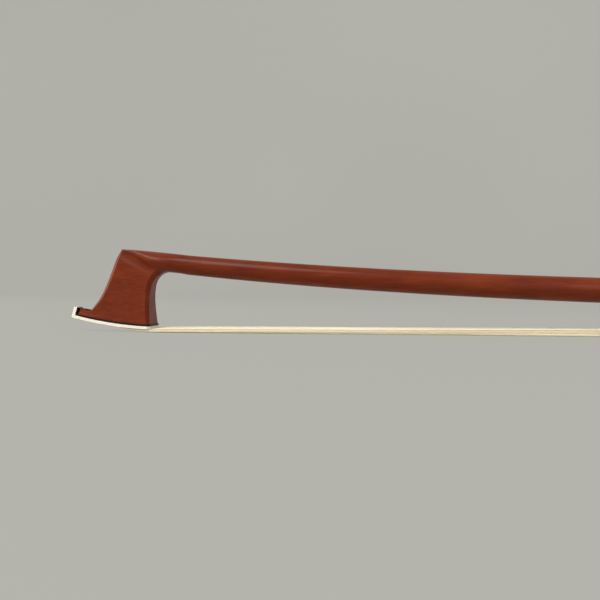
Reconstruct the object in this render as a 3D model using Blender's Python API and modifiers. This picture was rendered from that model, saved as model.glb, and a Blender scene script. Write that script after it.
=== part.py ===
"""Viola bow in metres, +Z up, the hair underneath.

X runs from the tip (low X) to the screw button (high X), Y = 0 is the symmetry plane, and z = 0 is the level of the
surface that the hair and the ferrule rest on. A "station" is a distance along X from the front of the beak. The
frog, the screw and the button are modelled in the handle's own axes: u along the handle's axis with u = 0 at the
stick's rear end, v sideways (the same as Y) and w upwards, square to the axis.
"""

import math

import bmesh
import bpy
from mathutils import Matrix, Vector

for old in list(bpy.data.objects):
    bpy.data.objects.remove(old, do_unlink=True)

# Overall size
BOW_LENGTH = 0.7420

# Gaps between pieces: where there is room, and between thin glued layers
GAP = 0.0003
GLUE_GAP = 0.00005

# Stick: the camber is a logarithmic curve that runs out into the straight handle
RING_POINTS = 32
SHAFT_START = 0.0360
CAMBER_HEIGHT = 0.02042
CAMBER_START = 0.0335
CAMBER_END_SLOPE = 0.102
CAMBER_DROP = 0.199
CAMBER_REACH = 0.251
HANDLE_START = 0.6400
STICK_END = 0.7275
STICK_TIP_DIAMETER = 0.00570
HANDLE_FLATS = 0.0087
TAPER_START = 0.0300
TAPER_END = 0.6200
TAPER_KNEE = 0.0460
OCTAGON_START = 0.6000
OCTAGON_END = 0.6200

# Plate and liner under the head: the plate's lower face rises from its rear edge to the beak
PLATE_REAR = 0.0255
PLATE_REAR_HEIGHT = 0.0009
PLATE_RISE = 0.030
PLATE_CURVE = 4.0
PLATE_THICKNESS = 0.00085
LINER_THICKNESS = 0.00050
BEAK_TOP = 0.00740
BEAK_LEAN = 0.30
BEAK_THICKNESS = 0.00100
PLATE_HALF_WIDTH_REAR = 0.00515
PLATE_HALF_WIDTH_BEAK = 0.00175
PLATE_CORNER_CUT = 0.00110

# Mortise in the head
HEAD_MORTISE = (0.0143, 0.0227)
HEAD_MORTISE_HALF_WIDTH = 0.00245
HEAD_MORTISE_TOP = 0.0088

# Lapping and leather on the stick, as stations
LAPPING = (0.5600, 0.6335)
LAPPING_THICKNESS = 0.00040
LEATHER = (0.6337, 0.6630)
LEATHER_THICKNESS = 0.00090
LEATHER_LIP = 0.00070

# Frog, in u, v, w
FROG_REAR = -0.0180
FROG_TOP_REAR = -0.0188
FROG_TOP_FRONT = -0.0595
FERRULE_REAR = -0.0530
FERRULE_FRONT = -0.0660
WING_TOP = -0.00235
HEEL_RADIUS = 0.0045
THROAT_CENTRE = (-0.0571, -0.0101)
THROAT_RADIUS = 0.0053
CHANNEL_GAP = 0.00010
UNDERSLIDE_THICKNESS = 0.00040
HEEL_PLATE_THICKNESS = 0.00080
HEEL_FOOT_FRONT = -0.0290
PEARL_HALF_WIDTH = 0.00405
PEARL_THICKNESS = 0.00070
BACKING_THICKNESS = 0.00085
FERRULE_HALF_WIDTH = 0.0071
FERRULE_HEIGHT = 0.0084
FERRULE_SPRING = 0.0022
FERRULE_WALL = 0.0007
FROG_MORTISE = (-0.0420, -0.0343)
FROG_MORTISE_HALF_WIDTH = 0.0036
FROG_MORTISE_HEIGHT = 0.0098
EYE_CENTRE = (-0.0365, -0.0122)
EYE_RADIUS = 0.00325
EYE_RING_RADIUS = 0.0041
EYE_DEPTH = 0.0007

# Eyelet, screw and button
EYELET_POSITION = -0.0395
EYELET_LENGTH = 0.0054
EYELET_WIDTH = 0.0042
SLOT = (-0.0480, -0.0338)
SLOT_HALF_WIDTH = 0.00235
SLOT_TOP = 0.0026
SCREW_RADIUS = 0.0015
PILOT_RADIUS = 0.0012
SCREW_TIP = -0.0725
PILOT_START = -0.0477
BORE_RADIUS = 0.00165
EYELET_BORE_RADIUS = 0.00160
PILOT_BORE_RADIUS = 0.00135
PILOT_BORE_END = -0.0755
NIPPLE_LENGTH = 0.0019
NIPPLE_RADIUS = 0.0028
BUTTON_FLATS = 0.0088
RING_FRONT = (0.0003, 0.0032)
CORE = (0.0009, 0.0128)
RING_REAR = (0.0104, 0.0145)
TENON_RADIUS = 0.0035

MIDDLE = BOW_LENGTH / 2

parts = bpy.data.collections.new("viola_bow")
cutters = bpy.data.collections.new("cutters")
bpy.context.scene.collection.children.link(parts)
bpy.context.scene.collection.children.link(cutters)


# Materials

def make_material(name, colour, roughness, metallic=0.0):
    material = bpy.data.materials.new(name)
    material.use_nodes = True
    shader = material.node_tree.nodes["Principled BSDF"]
    shader.inputs["Base Color"].default_value = (*colour, 1.0)
    shader.inputs["Roughness"].default_value = roughness
    shader.inputs["Metallic"].default_value = metallic
    return material


PERNAMBUCO = make_material("pernambuco", (0.20, 0.040, 0.012), 0.30)
EBONY = make_material("ebony", (0.012, 0.010, 0.009), 0.35)
MAPLE = make_material("maple", (0.62, 0.44, 0.25), 0.60)
BONE = make_material("bone", (0.85, 0.79, 0.66), 0.35)
HORSEHAIR = make_material("horsehair", (0.82, 0.75, 0.58), 0.55)
THREAD = make_material("thread", (0.55, 0.12, 0.08), 0.80)
SILVER = make_material("silver", (0.77, 0.76, 0.73), 0.25, 1.0)
PEARL = make_material("pearl", (0.75, 0.77, 0.74), 0.20)
LEATHER_BROWN = make_material("leather", (0.05, 0.03, 0.02), 0.60)
BRASS = make_material("brass", (0.72, 0.50, 0.20), 0.35, 1.0)
STEEL = make_material("steel", (0.50, 0.50, 0.51), 0.35, 1.0)


# The stick's line, thickness and cross-section

def camber(station):
    """Height and slope of the stick's centre line."""
    x = min(station, HANDLE_START) - CAMBER_START
    height = CAMBER_HEIGHT + CAMBER_END_SLOPE * x
    height -= CAMBER_DROP * CAMBER_REACH * math.log(1 + x / CAMBER_REACH)
    slope = CAMBER_END_SLOPE - CAMBER_DROP / (1 + x / CAMBER_REACH)
    return height + slope * max(0.0, station - HANDLE_START), slope


def stick_diameter(station):
    """Logarithmic taper, from the head to the octagonal handle."""
    reach = max(0.0, min(station, TAPER_END) - TAPER_START)
    share = math.log(1 + reach / TAPER_KNEE) / math.log(1 + (TAPER_END - TAPER_START) / TAPER_KNEE)
    return STICK_TIP_DIAMETER + (HANDLE_FLATS - STICK_TIP_DIAMETER) * share


def section_radius(station, angle):
    """Radius of the stick's surface: round along the shaft, octagonal at the handle."""
    radius = stick_diameter(station) / 2
    eighth = math.pi / 4
    octagon = 1 / math.cos((angle + eighth / 2) % eighth - eighth / 2)
    share = (station - OCTAGON_START) / (OCTAGON_END - OCTAGON_START)
    return radius * (1 + (octagon - 1) * max(0.0, min(1.0, share)))


def stick_ring(station, offset=0.0):
    """Points round the stick, from the top, square to its centre line."""
    height, slope = camber(station)
    up = Vector((-slope, 0, 1)).normalized()
    centre = Vector((station - MIDDLE, 0, height))
    ring = []
    for i in range(RING_POINTS):
        angle = 2 * math.pi * i / RING_POINTS
        radius = section_radius(station, angle) + offset
        ring.append(centre + up * radius * math.cos(angle) + Vector((0, radius * math.sin(angle), 0)))
    return ring


HANDLE_ANGLE = math.atan(camber(STICK_END)[1])
# Depth of the frog's sole under the handle's axis, which puts the ferrule's front edge at z = 0
SOLE = -(camber(STICK_END)[0] + FERRULE_FRONT * math.sin(HANDLE_ANGLE)) / math.cos(HANDLE_ANGLE)

handle_axis = bpy.data.objects.new("handle_axis", None)
parts.objects.link(handle_axis)
handle_axis.location = (STICK_END - MIDDLE, 0, camber(STICK_END)[0])
handle_axis.rotation_euler = (0, -HANDLE_ANGLE, 0)


# Building blocks

def link(name, mesh, material=None, parent=None, sharp=30):
    """A piece of the bow, or a cutter where no material is given."""
    piece = bpy.data.objects.new(name, mesh)
    if material is None:
        piece.display_type = "WIRE"
        piece.hide_render = True
        cutters.objects.link(piece)
    else:
        mesh.materials.clear()
        mesh.materials.append(material)
        mesh.shade_smooth()
        mesh.set_sharp_from_angle(angle=math.radians(sharp))
        parts.objects.link(piece)
    piece.parent = parent
    return piece


def combine(piece, other, operation):
    """Boolean of a piece with a cutter."""
    modifier = piece.modifiers.new(other.name, "BOOLEAN")
    modifier.object = other
    modifier.operation = operation
    modifier.solver = "EXACT"


def finish_mesh(name, bm):
    bmesh.ops.recalc_face_normals(bm, faces=bm.faces)
    mesh = bpy.data.meshes.new(name)
    bm.to_mesh(mesh)
    bm.free()
    return mesh


def box_mesh(name, low, high):
    """A box between two corners."""
    bm = bmesh.new()
    bmesh.ops.create_cube(bm, size=1.0)
    size = [b - a for a, b in zip(low, high)]
    centre = [(a + b) / 2 for a, b in zip(low, high)]
    bmesh.ops.scale(bm, vec=size, verts=bm.verts)
    bmesh.ops.translate(bm, vec=centre, verts=bm.verts)
    return finish_mesh(name, bm)


def rod_mesh(name, centre, direction, length, radius, sides=16, end_radius=None):
    """A cylinder or a cone about its centre, along a direction."""
    bm = bmesh.new()
    end_radius = radius if end_radius is None else end_radius
    bmesh.ops.create_cone(
        bm, cap_ends=True, segments=sides, radius1=radius, radius2=end_radius, depth=length
    )
    turn = Vector((0, 0, 1)).rotation_difference(Vector(direction)).to_matrix().to_4x4()
    bmesh.ops.transform(bm, matrix=Matrix.Translation(centre) @ turn, verts=bm.verts)
    return finish_mesh(name, bm)


def outline_mesh(name, loops, start, end, axes):
    """Flat outline, holes included, drawn out along the third axis from start to end.

    The outline is drawn as a 2D curve a thousand times too large, because the fill of a 2D curve merges points
    that lie less than a few hundredths of a unit apart.
    """
    scale = 1000.0
    curve = bpy.data.curves.new(name, "CURVE")
    curve.dimensions = "2D"
    curve.fill_mode = "BOTH"
    curve.extrude = scale * abs(end - start) / 2
    for loop in loops:
        spline = curve.splines.new("POLY")
        spline.points.add(len(loop) - 1)
        spline.use_cyclic_u = True
        for point, (a, b) in zip(spline.points, loop):
            point.co = (scale * a, scale * b, 0, 1)
    drawing = bpy.data.objects.new(name, curve)
    cutters.objects.link(drawing)
    solid = bpy.data.meshes.new_from_object(drawing.evaluated_get(bpy.context.evaluated_depsgraph_get()))
    bpy.data.objects.remove(drawing, do_unlink=True)
    bm = bmesh.new()
    bm.from_mesh(solid)
    bmesh.ops.remove_doubles(bm, verts=bm.verts, dist=0.001)
    first, second, third = (Vector(axis) for axis in axes)
    place = Matrix((first, second, third)).transposed().to_4x4()
    place.translation = third * (start + end) / 2
    bmesh.ops.transform(bm, matrix=place @ Matrix.Scale(1 / scale, 4), verts=bm.verts)
    return finish_mesh(name, bm)


ALONG = (1, 0, 0)
ACROSS = (0, 1, 0)
UP = (0, 0, 1)


def side_outline(name, loops, half_width):
    """Side view in x and z, drawn out across the bow."""
    return outline_mesh(name, loops, -half_width, half_width, (ALONG, UP, ACROSS))


def end_outline(name, loops, start, end):
    """End view in y and z, drawn out along the bow."""
    return outline_mesh(name, loops, start, end, (ACROSS, UP, ALONG))


def plan_outline(name, loops, start, end):
    """Top view in x and y, drawn out upwards."""
    return outline_mesh(name, loops, start, end, (ALONG, ACROSS, UP))


def turned(name, profile, material, parent, sides=16, turn=0.0):
    """Profile of (radius, u) pairs turned round the handle's axis by a Screw modifier."""
    bm = bmesh.new()
    corners = [bm.verts.new((radius, 0, u)) for radius, u in profile]
    for a, b in zip(corners, corners[1:]):
        bm.edges.new((a, b))
    mesh = bpy.data.meshes.new(name)
    bm.to_mesh(mesh)
    bm.free()
    piece = link(name, mesh, material, parent)
    piece.rotation_euler = Matrix.Rotation(math.pi / 2, 3, "Y").to_euler()
    mesh.transform(Matrix.Rotation(turn, 4, "Z"))
    screw = piece.modifiers.new("turn", "SCREW")
    screw.axis = "Z"
    screw.steps = sides
    screw.render_steps = sides
    screw.use_merge_vertices = True
    screw.merge_threshold = 0.00001
    screw.use_smooth_shade = True
    return piece


def arc(centre, radius, start, end, count):
    """Points on an arc, angles in degrees."""
    points = []
    for i in range(count + 1):
        angle = math.radians(start + (end - start) * i / count)
        points.append((centre[0] + radius * math.cos(angle), centre[1] + radius * math.sin(angle)))
    return points


def loft_mesh(name, rings, inner=None, strip_start=False):
    """Skin over rings of equal counts. With inner rings it is a tube, otherwise its ends are filled.

    A first ring that isn't flat is filled in strips from side to side.
    """
    bm = bmesh.new()
    count = len(rings[0])

    def skin(loops):
        rows = [[bm.verts.new(point) for point in ring] for ring in loops]
        for row, following in zip(rows, rows[1:]):
            for i in range(count):
                j = (i + 1) % count
                bm.faces.new((row[i], row[j], following[j], following[i]))
        return rows

    rows = skin(rings)
    if inner:
        inside = skin(inner)
        for outer_row, inner_row in ((rows[0], inside[0]), (rows[-1], inside[-1])):
            for i in range(count):
                j = (i + 1) % count
                bm.faces.new((outer_row[i], outer_row[j], inner_row[j], inner_row[i]))
    sides = list(bm.faces)
    if not inner:
        first = rows[0]
        last_strip = count // 2 - START_FLAT - 1 if strip_start else 0
        for i in range(last_strip):
            bm.faces.new(dict.fromkeys((first[i], first[i + 1], first[(-i - 1) % count], first[-i % count])))
        bm.faces.new(first[last_strip:count - last_strip + 1] if last_strip else first)
        bm.faces.new(rows[-1])
    bmesh.ops.triangulate(bm, faces=sides)
    return finish_mesh(name, bm)


# Head and stick, one piece of wood

def plate_height(station):
    """Lower face of the plate."""
    u = PLATE_REAR - station
    return PLATE_REAR_HEIGHT + PLATE_RISE * u + PLATE_CURVE * u * u


WOOD_LIFT = PLATE_THICKNESS + LINER_THICKNESS + 2 * GLUE_GAP


class HeadRow:
    """One slice through the head, from the front ridge or top edge to the throat."""

    def __init__(self, outer, inner, front, rear, face, roundness=0.0):
        self.values = [*outer, *inner, *front, *rear, face, roundness]


# Each slice: the point on the ridge, the point on the throat's face (station, height), then the front chamfer and
# the rear chamfer (depth from the ridge or the face, half width), the half width of the rear face, and how far the
# slice has turned into the round stick
HEAD_ROWS = [
    HeadRow((0.00175, 0.00520), (0.02525, 0.00230), (0.0004, 0.00180), (0.0008, 0.00500), 0.00395),
    HeadRow((0.00240, 0.00695), (0.02520, 0.00300), (0.0005, 0.00150), (0.0008, 0.00495), 0.00385),
    HeadRow((0.00330, 0.00610), (0.02514, 0.00360), (0.0006, 0.00180), (0.0008, 0.00490), 0.00375),
    HeadRow((0.00430, 0.00586), (0.02508, 0.00430), (0.0008, 0.00200), (0.0008, 0.00485), 0.00365),
    HeadRow((0.00540, 0.00625), (0.02502, 0.00510), (0.0010, 0.00215), (0.0009, 0.00475), 0.00350),
    HeadRow((0.00660, 0.00760), (0.02494, 0.00620), (0.0013, 0.00235), (0.0009, 0.00460), 0.00335),
    HeadRow((0.00830, 0.00980), (0.02486, 0.00800), (0.0015, 0.00250), (0.0009, 0.00435), 0.00310),
    HeadRow((0.00985, 0.01270), (0.02483, 0.01020), (0.0016, 0.00255), (0.0010, 0.00405), 0.00285),
    HeadRow((0.01120, 0.01580), (0.02505, 0.01240), (0.0016, 0.00255), (0.0011, 0.00375), 0.00250),
    HeadRow((0.01240, 0.01890), (0.02550, 0.01440), (0.0016, 0.00245), (0.0012, 0.00350), 0.00210),
    HeadRow((0.01360, 0.02200), (0.02635, 0.01605), (0.0015, 0.00225), (0.0013, 0.00325), 0.00170),
    HeadRow((0.01530, 0.02502), (0.02765, 0.01725), (0.0008, 0.00150), (0.0015, 0.00305), 0.00130),
    HeadRow((0.01950, 0.02480), (0.02945, 0.01792), (0.0009, 0.00200), (0.0013, 0.00280), 0.00120, 0.45),
    HeadRow((0.02500, 0.02430), (0.03150, 0.01788), (0.0009, 0.00210), (0.0010, 0.00240), 0.00110, 0.80),
    HeadRow((0.03100, 0.02370), (0.03370, 0.01765), (0.0009, 0.00200), (0.0010, 0.00220), 0.00110, 1.0),
]
# The ridge turns sharply at the beak's top and at the nose
RIDGE_CORNERS = (1, 11)
RIDGE_VALUES = (0, 1)
CHEEK_FIRST = 3
# Points each side of the middle that lie on the straight rear edge
START_FLAT = 2
CHEEK_LAST = RING_POINTS // 2 - 4


def tangent(values, places, k, side, broken):
    """Slope of a smooth curve through values at row k; one-sided at the ends and at a broken corner."""
    before = (values[k] - values[k - 1]) / (places[k] - places[k - 1]) if k else None
    after = (values[k + 1] - values[k]) / (places[k + 1] - places[k]) if k + 1 < len(values) else None
    if before is None or (broken and side > 0 and after is not None):
        return after
    if after is None or broken:
        return before
    back = places[k] - places[k - 1]
    ahead = places[k + 1] - places[k]
    return (before * ahead + after * back) / (back + ahead)


def interpolate_rows(rows, steps):
    """Rows with steps - 1 smooth rows put in between each pair."""
    places = [0.0]
    for row, following in zip(rows, rows[1:]):
        step = math.dist(row.values[:2], following.values[:2]) + math.dist(row.values[2:4], following.values[2:4])
        places.append(places[-1] + step)
    fine = []
    for k in range(len(rows) - 1):
        width = places[k + 1] - places[k]
        for i in range(steps):
            t = i / steps
            blended = []
            for column in range(len(rows[0].values)):
                values = [row.values[column] for row in rows]
                ridge = column in RIDGE_VALUES
                m0 = tangent(values, places, k, 1, ridge and k in RIDGE_CORNERS)
                m1 = tangent(values, places, k + 1, -1, ridge and k + 1 in RIDGE_CORNERS)
                blended.append(
                    (2 * t ** 3 - 3 * t ** 2 + 1) * values[k]
                    + (t ** 3 - 2 * t ** 2 + t) * width * m0
                    + (3 * t ** 2 - 2 * t ** 3) * values[k + 1]
                    + (t ** 3 - t ** 2) * width * m1
                )
            fine.append(blended)
    fine.append(rows[-1].values)
    return fine


def half_slice(values):
    """(depth, half width) of the points from the ridge to the middle of the rear face."""
    x0, z0, x1, z1, front_depth, front_half, rear_depth, rear_half, face_half, roundness = values
    length = math.dist((x0, z0), (x1, z1))
    last = RING_POINTS // 2
    points = []
    for i in range(last + 1):
        if i <= CHEEK_FIRST:
            depth, half = front_depth * i / CHEEK_FIRST, front_half * i / CHEEK_FIRST
        elif i <= CHEEK_LAST:
            t = (i - CHEEK_FIRST) / (CHEEK_LAST - CHEEK_FIRST)
            depth = front_depth + (length - rear_depth - front_depth) * t
            half = front_half + (rear_half - front_half) * t
        elif i <= last - 2:
            t = (i - CHEEK_LAST) / 2
            depth = length - rear_depth * (1 - t)
            half = rear_half + (face_half - rear_half) * t
        else:
            depth, half = length, face_half * (last - i) / 2
        angle = math.pi * i / last
        round_depth = length / 2 * (1 - math.cos(angle))
        round_half = length / 2 * math.sin(angle)
        depth += (round_depth - depth) * roundness
        half += (round_half - half) * roundness
        points.append((depth, half))
    return points


def head_ring(values, on_plate=0.0):
    """Points round one slice. A slice near the plate takes the plate's curve."""
    start = Vector((values[0] - MIDDLE, 0, values[1]))
    end = Vector((values[2] - MIDDLE, 0, values[3]))
    along = (end - start).normalized()
    half = []
    for depth, width in half_slice(values):
        point = start + along * depth
        curved = plate_height(point.x + MIDDLE) + WOOD_LIFT
        point.z += (curved - point.z) * on_plate
        half.append(point + Vector((0, width, 0)))
    mirrored = [Vector((p.x, -p.y, p.z)) for p in reversed(half[1:-1])]
    return half + mirrored


def stick_rings():
    slices = interpolate_rows(HEAD_ROWS, 2)
    rings = [head_ring(slices[0], 1.0)]
    rings += [head_ring(values) for values in slices[1:]]
    stations = [SHAFT_START + (OCTAGON_START - SHAFT_START) * i / 28 for i in range(29)]
    stations += [OCTAGON_START + (OCTAGON_END - OCTAGON_START) * i / 3 for i in (1, 2, 3)]
    stations += [HANDLE_START, (HANDLE_START + STICK_END) / 2, STICK_END]
    return rings + [stick_ring(station) for station in stations]


def build_stick():
    stick = link("stick", loft_mesh("stick", stick_rings(), strip_start=True), PERNAMBUCO, sharp=22)
    nipple = link(
        "nipple_form",
        rod_mesh("nipple_form", (0, 0, 0), ALONG, 2 * NIPPLE_LENGTH, NIPPLE_RADIUS, 20),
        parent=handle_axis,
    )
    combine(stick, nipple, "UNION")
    bore = rod_mesh("bore_cut", (-0.015, 0, 0), ALONG, 0.042, BORE_RADIUS, 20)
    combine(stick, link("bore_cut", bore, parent=handle_axis), "DIFFERENCE")
    pilot_length = SLOT[0] + 0.001 - PILOT_BORE_END
    pilot = rod_mesh(
        "pilot_cut", (PILOT_BORE_END + pilot_length / 2, 0, 0), ALONG, pilot_length, PILOT_BORE_RADIUS, 16
    )
    combine(stick, link("pilot_cut", pilot, parent=handle_axis), "DIFFERENCE")
    slot = box_mesh("slot_cut", (SLOT[0], -SLOT_HALF_WIDTH, -0.006), (SLOT[1], SLOT_HALF_WIDTH, SLOT_TOP))
    combine(stick, link("slot_cut", slot, parent=handle_axis), "DIFFERENCE")
    combine(stick, mortise_cutter, "DIFFERENCE")


def head_mortise_cutter():
    low = (HEAD_MORTISE[0] - MIDDLE, -HEAD_MORTISE_HALF_WIDTH, -0.002)
    high = (HEAD_MORTISE[1] - MIDDLE, HEAD_MORTISE_HALF_WIDTH, HEAD_MORTISE_TOP)
    return link("head_mortise_cut", box_mesh("head_mortise_cut", low, high))


mortise_cutter = head_mortise_cutter()


# Plate and liner under the head

def beak_front(height, offset):
    """Station of the beak's leaning front, moved back by an offset."""
    return offset + BEAK_LEAN * max(0.0, height - plate_height(0.0))


def layer_outline(lift, thickness, front_offset, front_thickness, top):
    """Side view of a layer that follows the plate's face and turns up the beak."""
    stations = [PLATE_REAR * i / 12 for i in range(13)]
    lower = []
    for station in reversed(stations):
        height = plate_height(station) + lift
        front = beak_front(height, front_offset)
        lower.append((max(station, front), plate_height(max(station, front)) + lift))
    upper = []
    for station in stations:
        height = plate_height(station) + lift + thickness
        front = beak_front(height, front_offset + front_thickness)
        if station > front:
            upper.append((station, height))
    corner_height = plate_height(front_offset + front_thickness) + lift + thickness
    corner = (beak_front(corner_height, front_offset + front_thickness), corner_height)
    top_front = (beak_front(top, front_offset), top)
    top_back = (beak_front(top, front_offset + front_thickness), top)
    outline = lower + [top_front, top_back, corner] + upper
    return [(x - MIDDLE, z) for x, z in outline]


def plate_plan():
    """Top view of the plate, with its rear corners cut like the head's chamfers."""
    half = [
        (-0.0005, PLATE_HALF_WIDTH_BEAK - 0.0003),
        (0.0012, PLATE_HALF_WIDTH_BEAK),
        (0.0130, 0.00355),
        (PLATE_REAR - 0.0008, PLATE_HALF_WIDTH_REAR),
        (PLATE_REAR, PLATE_HALF_WIDTH_REAR - PLATE_CORNER_CUT),
    ]
    right = [(x - MIDDLE, y) for x, y in half]
    return right + [(x, -y) for x, y in reversed(right)]


def build_plate():
    plan = link("plate_plan", plan_outline("plate_plan", [plate_plan()], -0.001, 0.012))
    layers = (
        ("tip_plate", BONE, 0.0, PLATE_THICKNESS, 0.0, BEAK_THICKNESS, BEAK_TOP),
        ("tip_liner", EBONY, PLATE_THICKNESS + GLUE_GAP, LINER_THICKNESS,
         BEAK_THICKNESS + GLUE_GAP, 0.0004, BEAK_TOP - 0.0003),
    )
    for name, material, lift, thickness, front, front_thickness, top in layers:
        outline = layer_outline(lift, thickness, front, front_thickness, top)
        piece = link(name, side_outline(name, [outline], 0.007), material)
        combine(piece, plan, "INTERSECT")
        combine(piece, mortise_cutter, "DIFFERENCE")


def capsule_profile(radius, half_length):
    """A short bound bundle, fullest in the middle."""
    return [
        (0.0, half_length),
        (radius * 0.65, half_length),
        (radius * 0.9, half_length * 0.7),
        (radius, 0.0),
        (radius * 0.9, -half_length * 0.7),
        (radius * 0.65, -half_length),
        (0.0, -half_length),
    ]


def build_tip_fittings():
    front, rear = HEAD_MORTISE
    low = (front + 0.0015 - MIDDLE, -HEAD_MORTISE_HALF_WIDTH + 0.0001, 0.0019)
    high = (rear - 0.0001 - MIDDLE, HEAD_MORTISE_HALF_WIDTH - 0.0001, 0.0053)
    link("tip_plug", box_mesh("tip_plug", low, high), MAPLE)
    knot = turned("tip_knot", capsule_profile(0.0014, 0.0021), THREAD, None, sides=12)
    knot.location = (front + 0.0016 - MIDDLE, 0, 0.0072)
    knot.rotation_euler = (math.pi / 2, 0, 0)


# Hair

HAIR_IN_FROG = SOLE + PEARL_THICKNESS + BACKING_THICKNESS + 3 * GLUE_GAP
HAIR_IN_FERRULE = SOLE + FERRULE_WALL + 2 * GLUE_GAP
HAIR_THICKNESS_FROG = 0.0012
HAIR_HALF_WIDTH_FROG = 0.0039


def hair_ring(lower, upper, half_width):
    """Six-sided section between the hair's outer and inner faces."""
    middle = (lower + upper) / 2
    side = Vector((0, half_width, 0))
    shoulder = side * 0.93
    return [lower - shoulder, lower + shoulder, middle + side, upper + shoulder, upper - shoulder, middle - side]


def hair_rings():
    """From the knot in the head, under the plate, along the bow and into the frog's mortise."""
    front = HEAD_MORTISE[0]
    half = HEAD_MORTISE_HALF_WIDTH - 0.0002
    tip = (
        (front + 0.0002, 0.0058, front + 0.0012, 0.0058, half),
        (front + 0.0002, 0.0021, front + 0.0012, 0.0024, half),
        (front + 0.0005, 0.0012, front + 0.0014, 0.0015, half),
        (front + 0.0016, 0.0010, front + 0.0020, plate_height(front + 0.0020) - GLUE_GAP, half),
        (0.0190, 0.00075, 0.0190, plate_height(0.0190) - GLUE_GAP, 0.0036),
        (0.0225, 0.00030, 0.0225, plate_height(0.0225) - GLUE_GAP, 0.0044),
        (0.0256, 0.00000, 0.0256, PLATE_REAR_HEIGHT - GLUE_GAP, 0.0047),
        (0.0262, 0.00000, 0.0262, 0.00120, 0.0048),
        (0.0280, 0.00000, 0.0280, 0.00150, 0.0049),
        (0.0600, 0.00000, 0.0600, 0.00165, 0.0051),
        (0.1600, 0.00010, 0.1600, 0.00200, 0.0053),
        (0.4000, 0.00035, 0.4000, 0.00225, 0.0056),
        (0.6400, 0.00072, 0.6400, 0.00220, 0.0059),
    )
    rings = []
    for x0, z0, x1, z1, width in tip:
        rings.append(hair_ring(Vector((x0 - MIDDLE, 0, z0)), Vector((x1 - MIDDLE, 0, z1)), width))
    place = Matrix.Translation(handle_axis.location) @ Matrix.Rotation(-HANDLE_ANGLE, 4, "Y")
    back = FROG_MORTISE[1]
    thick = HAIR_THICKNESS_FROG
    frog = (
        (FERRULE_FRONT - 0.0006, HAIR_IN_FERRULE, FERRULE_FRONT - 0.0006, HAIR_IN_FERRULE + thick, 0.0059),
        (-0.0570, HAIR_IN_FERRULE, -0.0570, HAIR_IN_FERRULE + thick, 0.0040),
        (-0.0550, HAIR_IN_FROG, -0.0550, HAIR_IN_FROG + thick, HAIR_HALF_WIDTH_FROG),
        (back - 0.0022, HAIR_IN_FROG, back - 0.0022, HAIR_IN_FROG + thick, HAIR_HALF_WIDTH_FROG - 0.0003),
        (back - 0.0004, HAIR_IN_FROG + 0.0006, back - 0.0014, HAIR_IN_FROG + 0.0016, 0.0034),
        (back - 0.0002, HAIR_IN_FROG + 0.0040, back - 0.0012, HAIR_IN_FROG + 0.0040, 0.0034),
    )
    for u0, w0, u1, w1, width in frog:
        rings.append(hair_ring(place @ Vector((u0, 0, w0)), place @ Vector((u1, 0, w1)), width))
    return rings


# Lapping and leather

def sleeve(name, stations, thicknesses, material):
    """Sleeve round the stick, with the stick's own cross-section."""
    outer = [stick_ring(s, GLUE_GAP + t) for s, t in zip(stations, thicknesses)]
    inner = [stick_ring(s, GLUE_GAP) for s in stations]
    return link(name, loft_mesh(name, outer, inner), material, sharp=22)


def build_sleeves():
    start, end = LAPPING
    stations = [start, 0.5800, OCTAGON_START, *(OCTAGON_START + (OCTAGON_END - OCTAGON_START) * i / 3
                                                for i in (1, 2, 3)), end]
    sleeve("lapping", stations, [LAPPING_THICKNESS] * len(stations), SILVER)
    start, end = LEATHER
    stations = [start, end - 0.0035, end - 0.0020, end]
    lip = LEATHER_THICKNESS + LEATHER_LIP
    sleeve("thumb_leather", stations, [LEATHER_THICKNESS, LEATHER_THICKNESS, lip, lip], LEATHER_BROWN)


# Frog

def octagon_points(apothem):
    """Corners of an octagon with a flat at the bottom."""
    radius = apothem / math.cos(math.pi / 8)
    return [
        (radius * math.cos(math.pi / 8 + math.pi / 4 * i), radius * math.sin(math.pi / 8 + math.pi / 4 * i))
        for i in range(8)
    ]


def frog_side_outline():
    """Side view of the frog without the ferrule's tongue: sole, heel, top and throat."""
    ferrule_top = SOLE + FERRULE_HEIGHT + GLUE_GAP
    lowest = math.degrees(math.asin((ferrule_top - THROAT_CENTRE[1]) / THROAT_RADIUS))
    throat = arc(THROAT_CENTRE, THROAT_RADIUS, 90, lowest, 10)
    heel_centre = (FROG_REAR - HEEL_RADIUS, SOLE + HEEL_RADIUS)
    return [
        (FERRULE_REAR + GLUE_GAP, SOLE),
        *arc(heel_centre, HEEL_RADIUS, -90, 0, 5),
        (FROG_TOP_REAR, WING_TOP),
        (FROG_TOP_FRONT, WING_TOP),
        (FROG_TOP_FRONT, throat[0][1]),
        *throat,
    ]


def frog_end_outline():
    """End view of the frog: upright rails, then cheeks that are drawn in towards the stick."""
    right = [
        (0.0063, SOLE - 0.001),
        (0.0063, SOLE + 0.0022),
        (0.0060, SOLE + 0.0040),
        (0.0056, SOLE + 0.0065),
        (0.0053, SOLE + 0.0095),
        (0.0051, SOLE + 0.0130),
        (0.0050, SOLE + 0.0170),
        (0.0050, WING_TOP + 0.001),
    ]
    return right + [(-v, w) for v, w in reversed(right)]


def cut_frog(name, low, high):
    """Box cutter in the frog's axes."""
    return link(name, box_mesh(name, low, high), parent=handle_axis)


def ferrule_outline(inset, floor):
    """D-shaped section of the ferrule, moved in by an inset, with its lower side at floor."""
    half = FERRULE_HALF_WIDTH - inset
    spring = SOLE + FERRULE_SPRING
    rise = FERRULE_HEIGHT - FERRULE_SPRING - inset
    arch = []
    for i in range(17):
        angle = math.pi * i / 16
        arch.append((half * math.cos(angle), spring + rise * math.sin(angle)))
    corner = 0.0005
    return arch + [(-half, floor + corner), (-half + corner, floor), (half - corner, floor), (half, floor + corner)]


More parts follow.
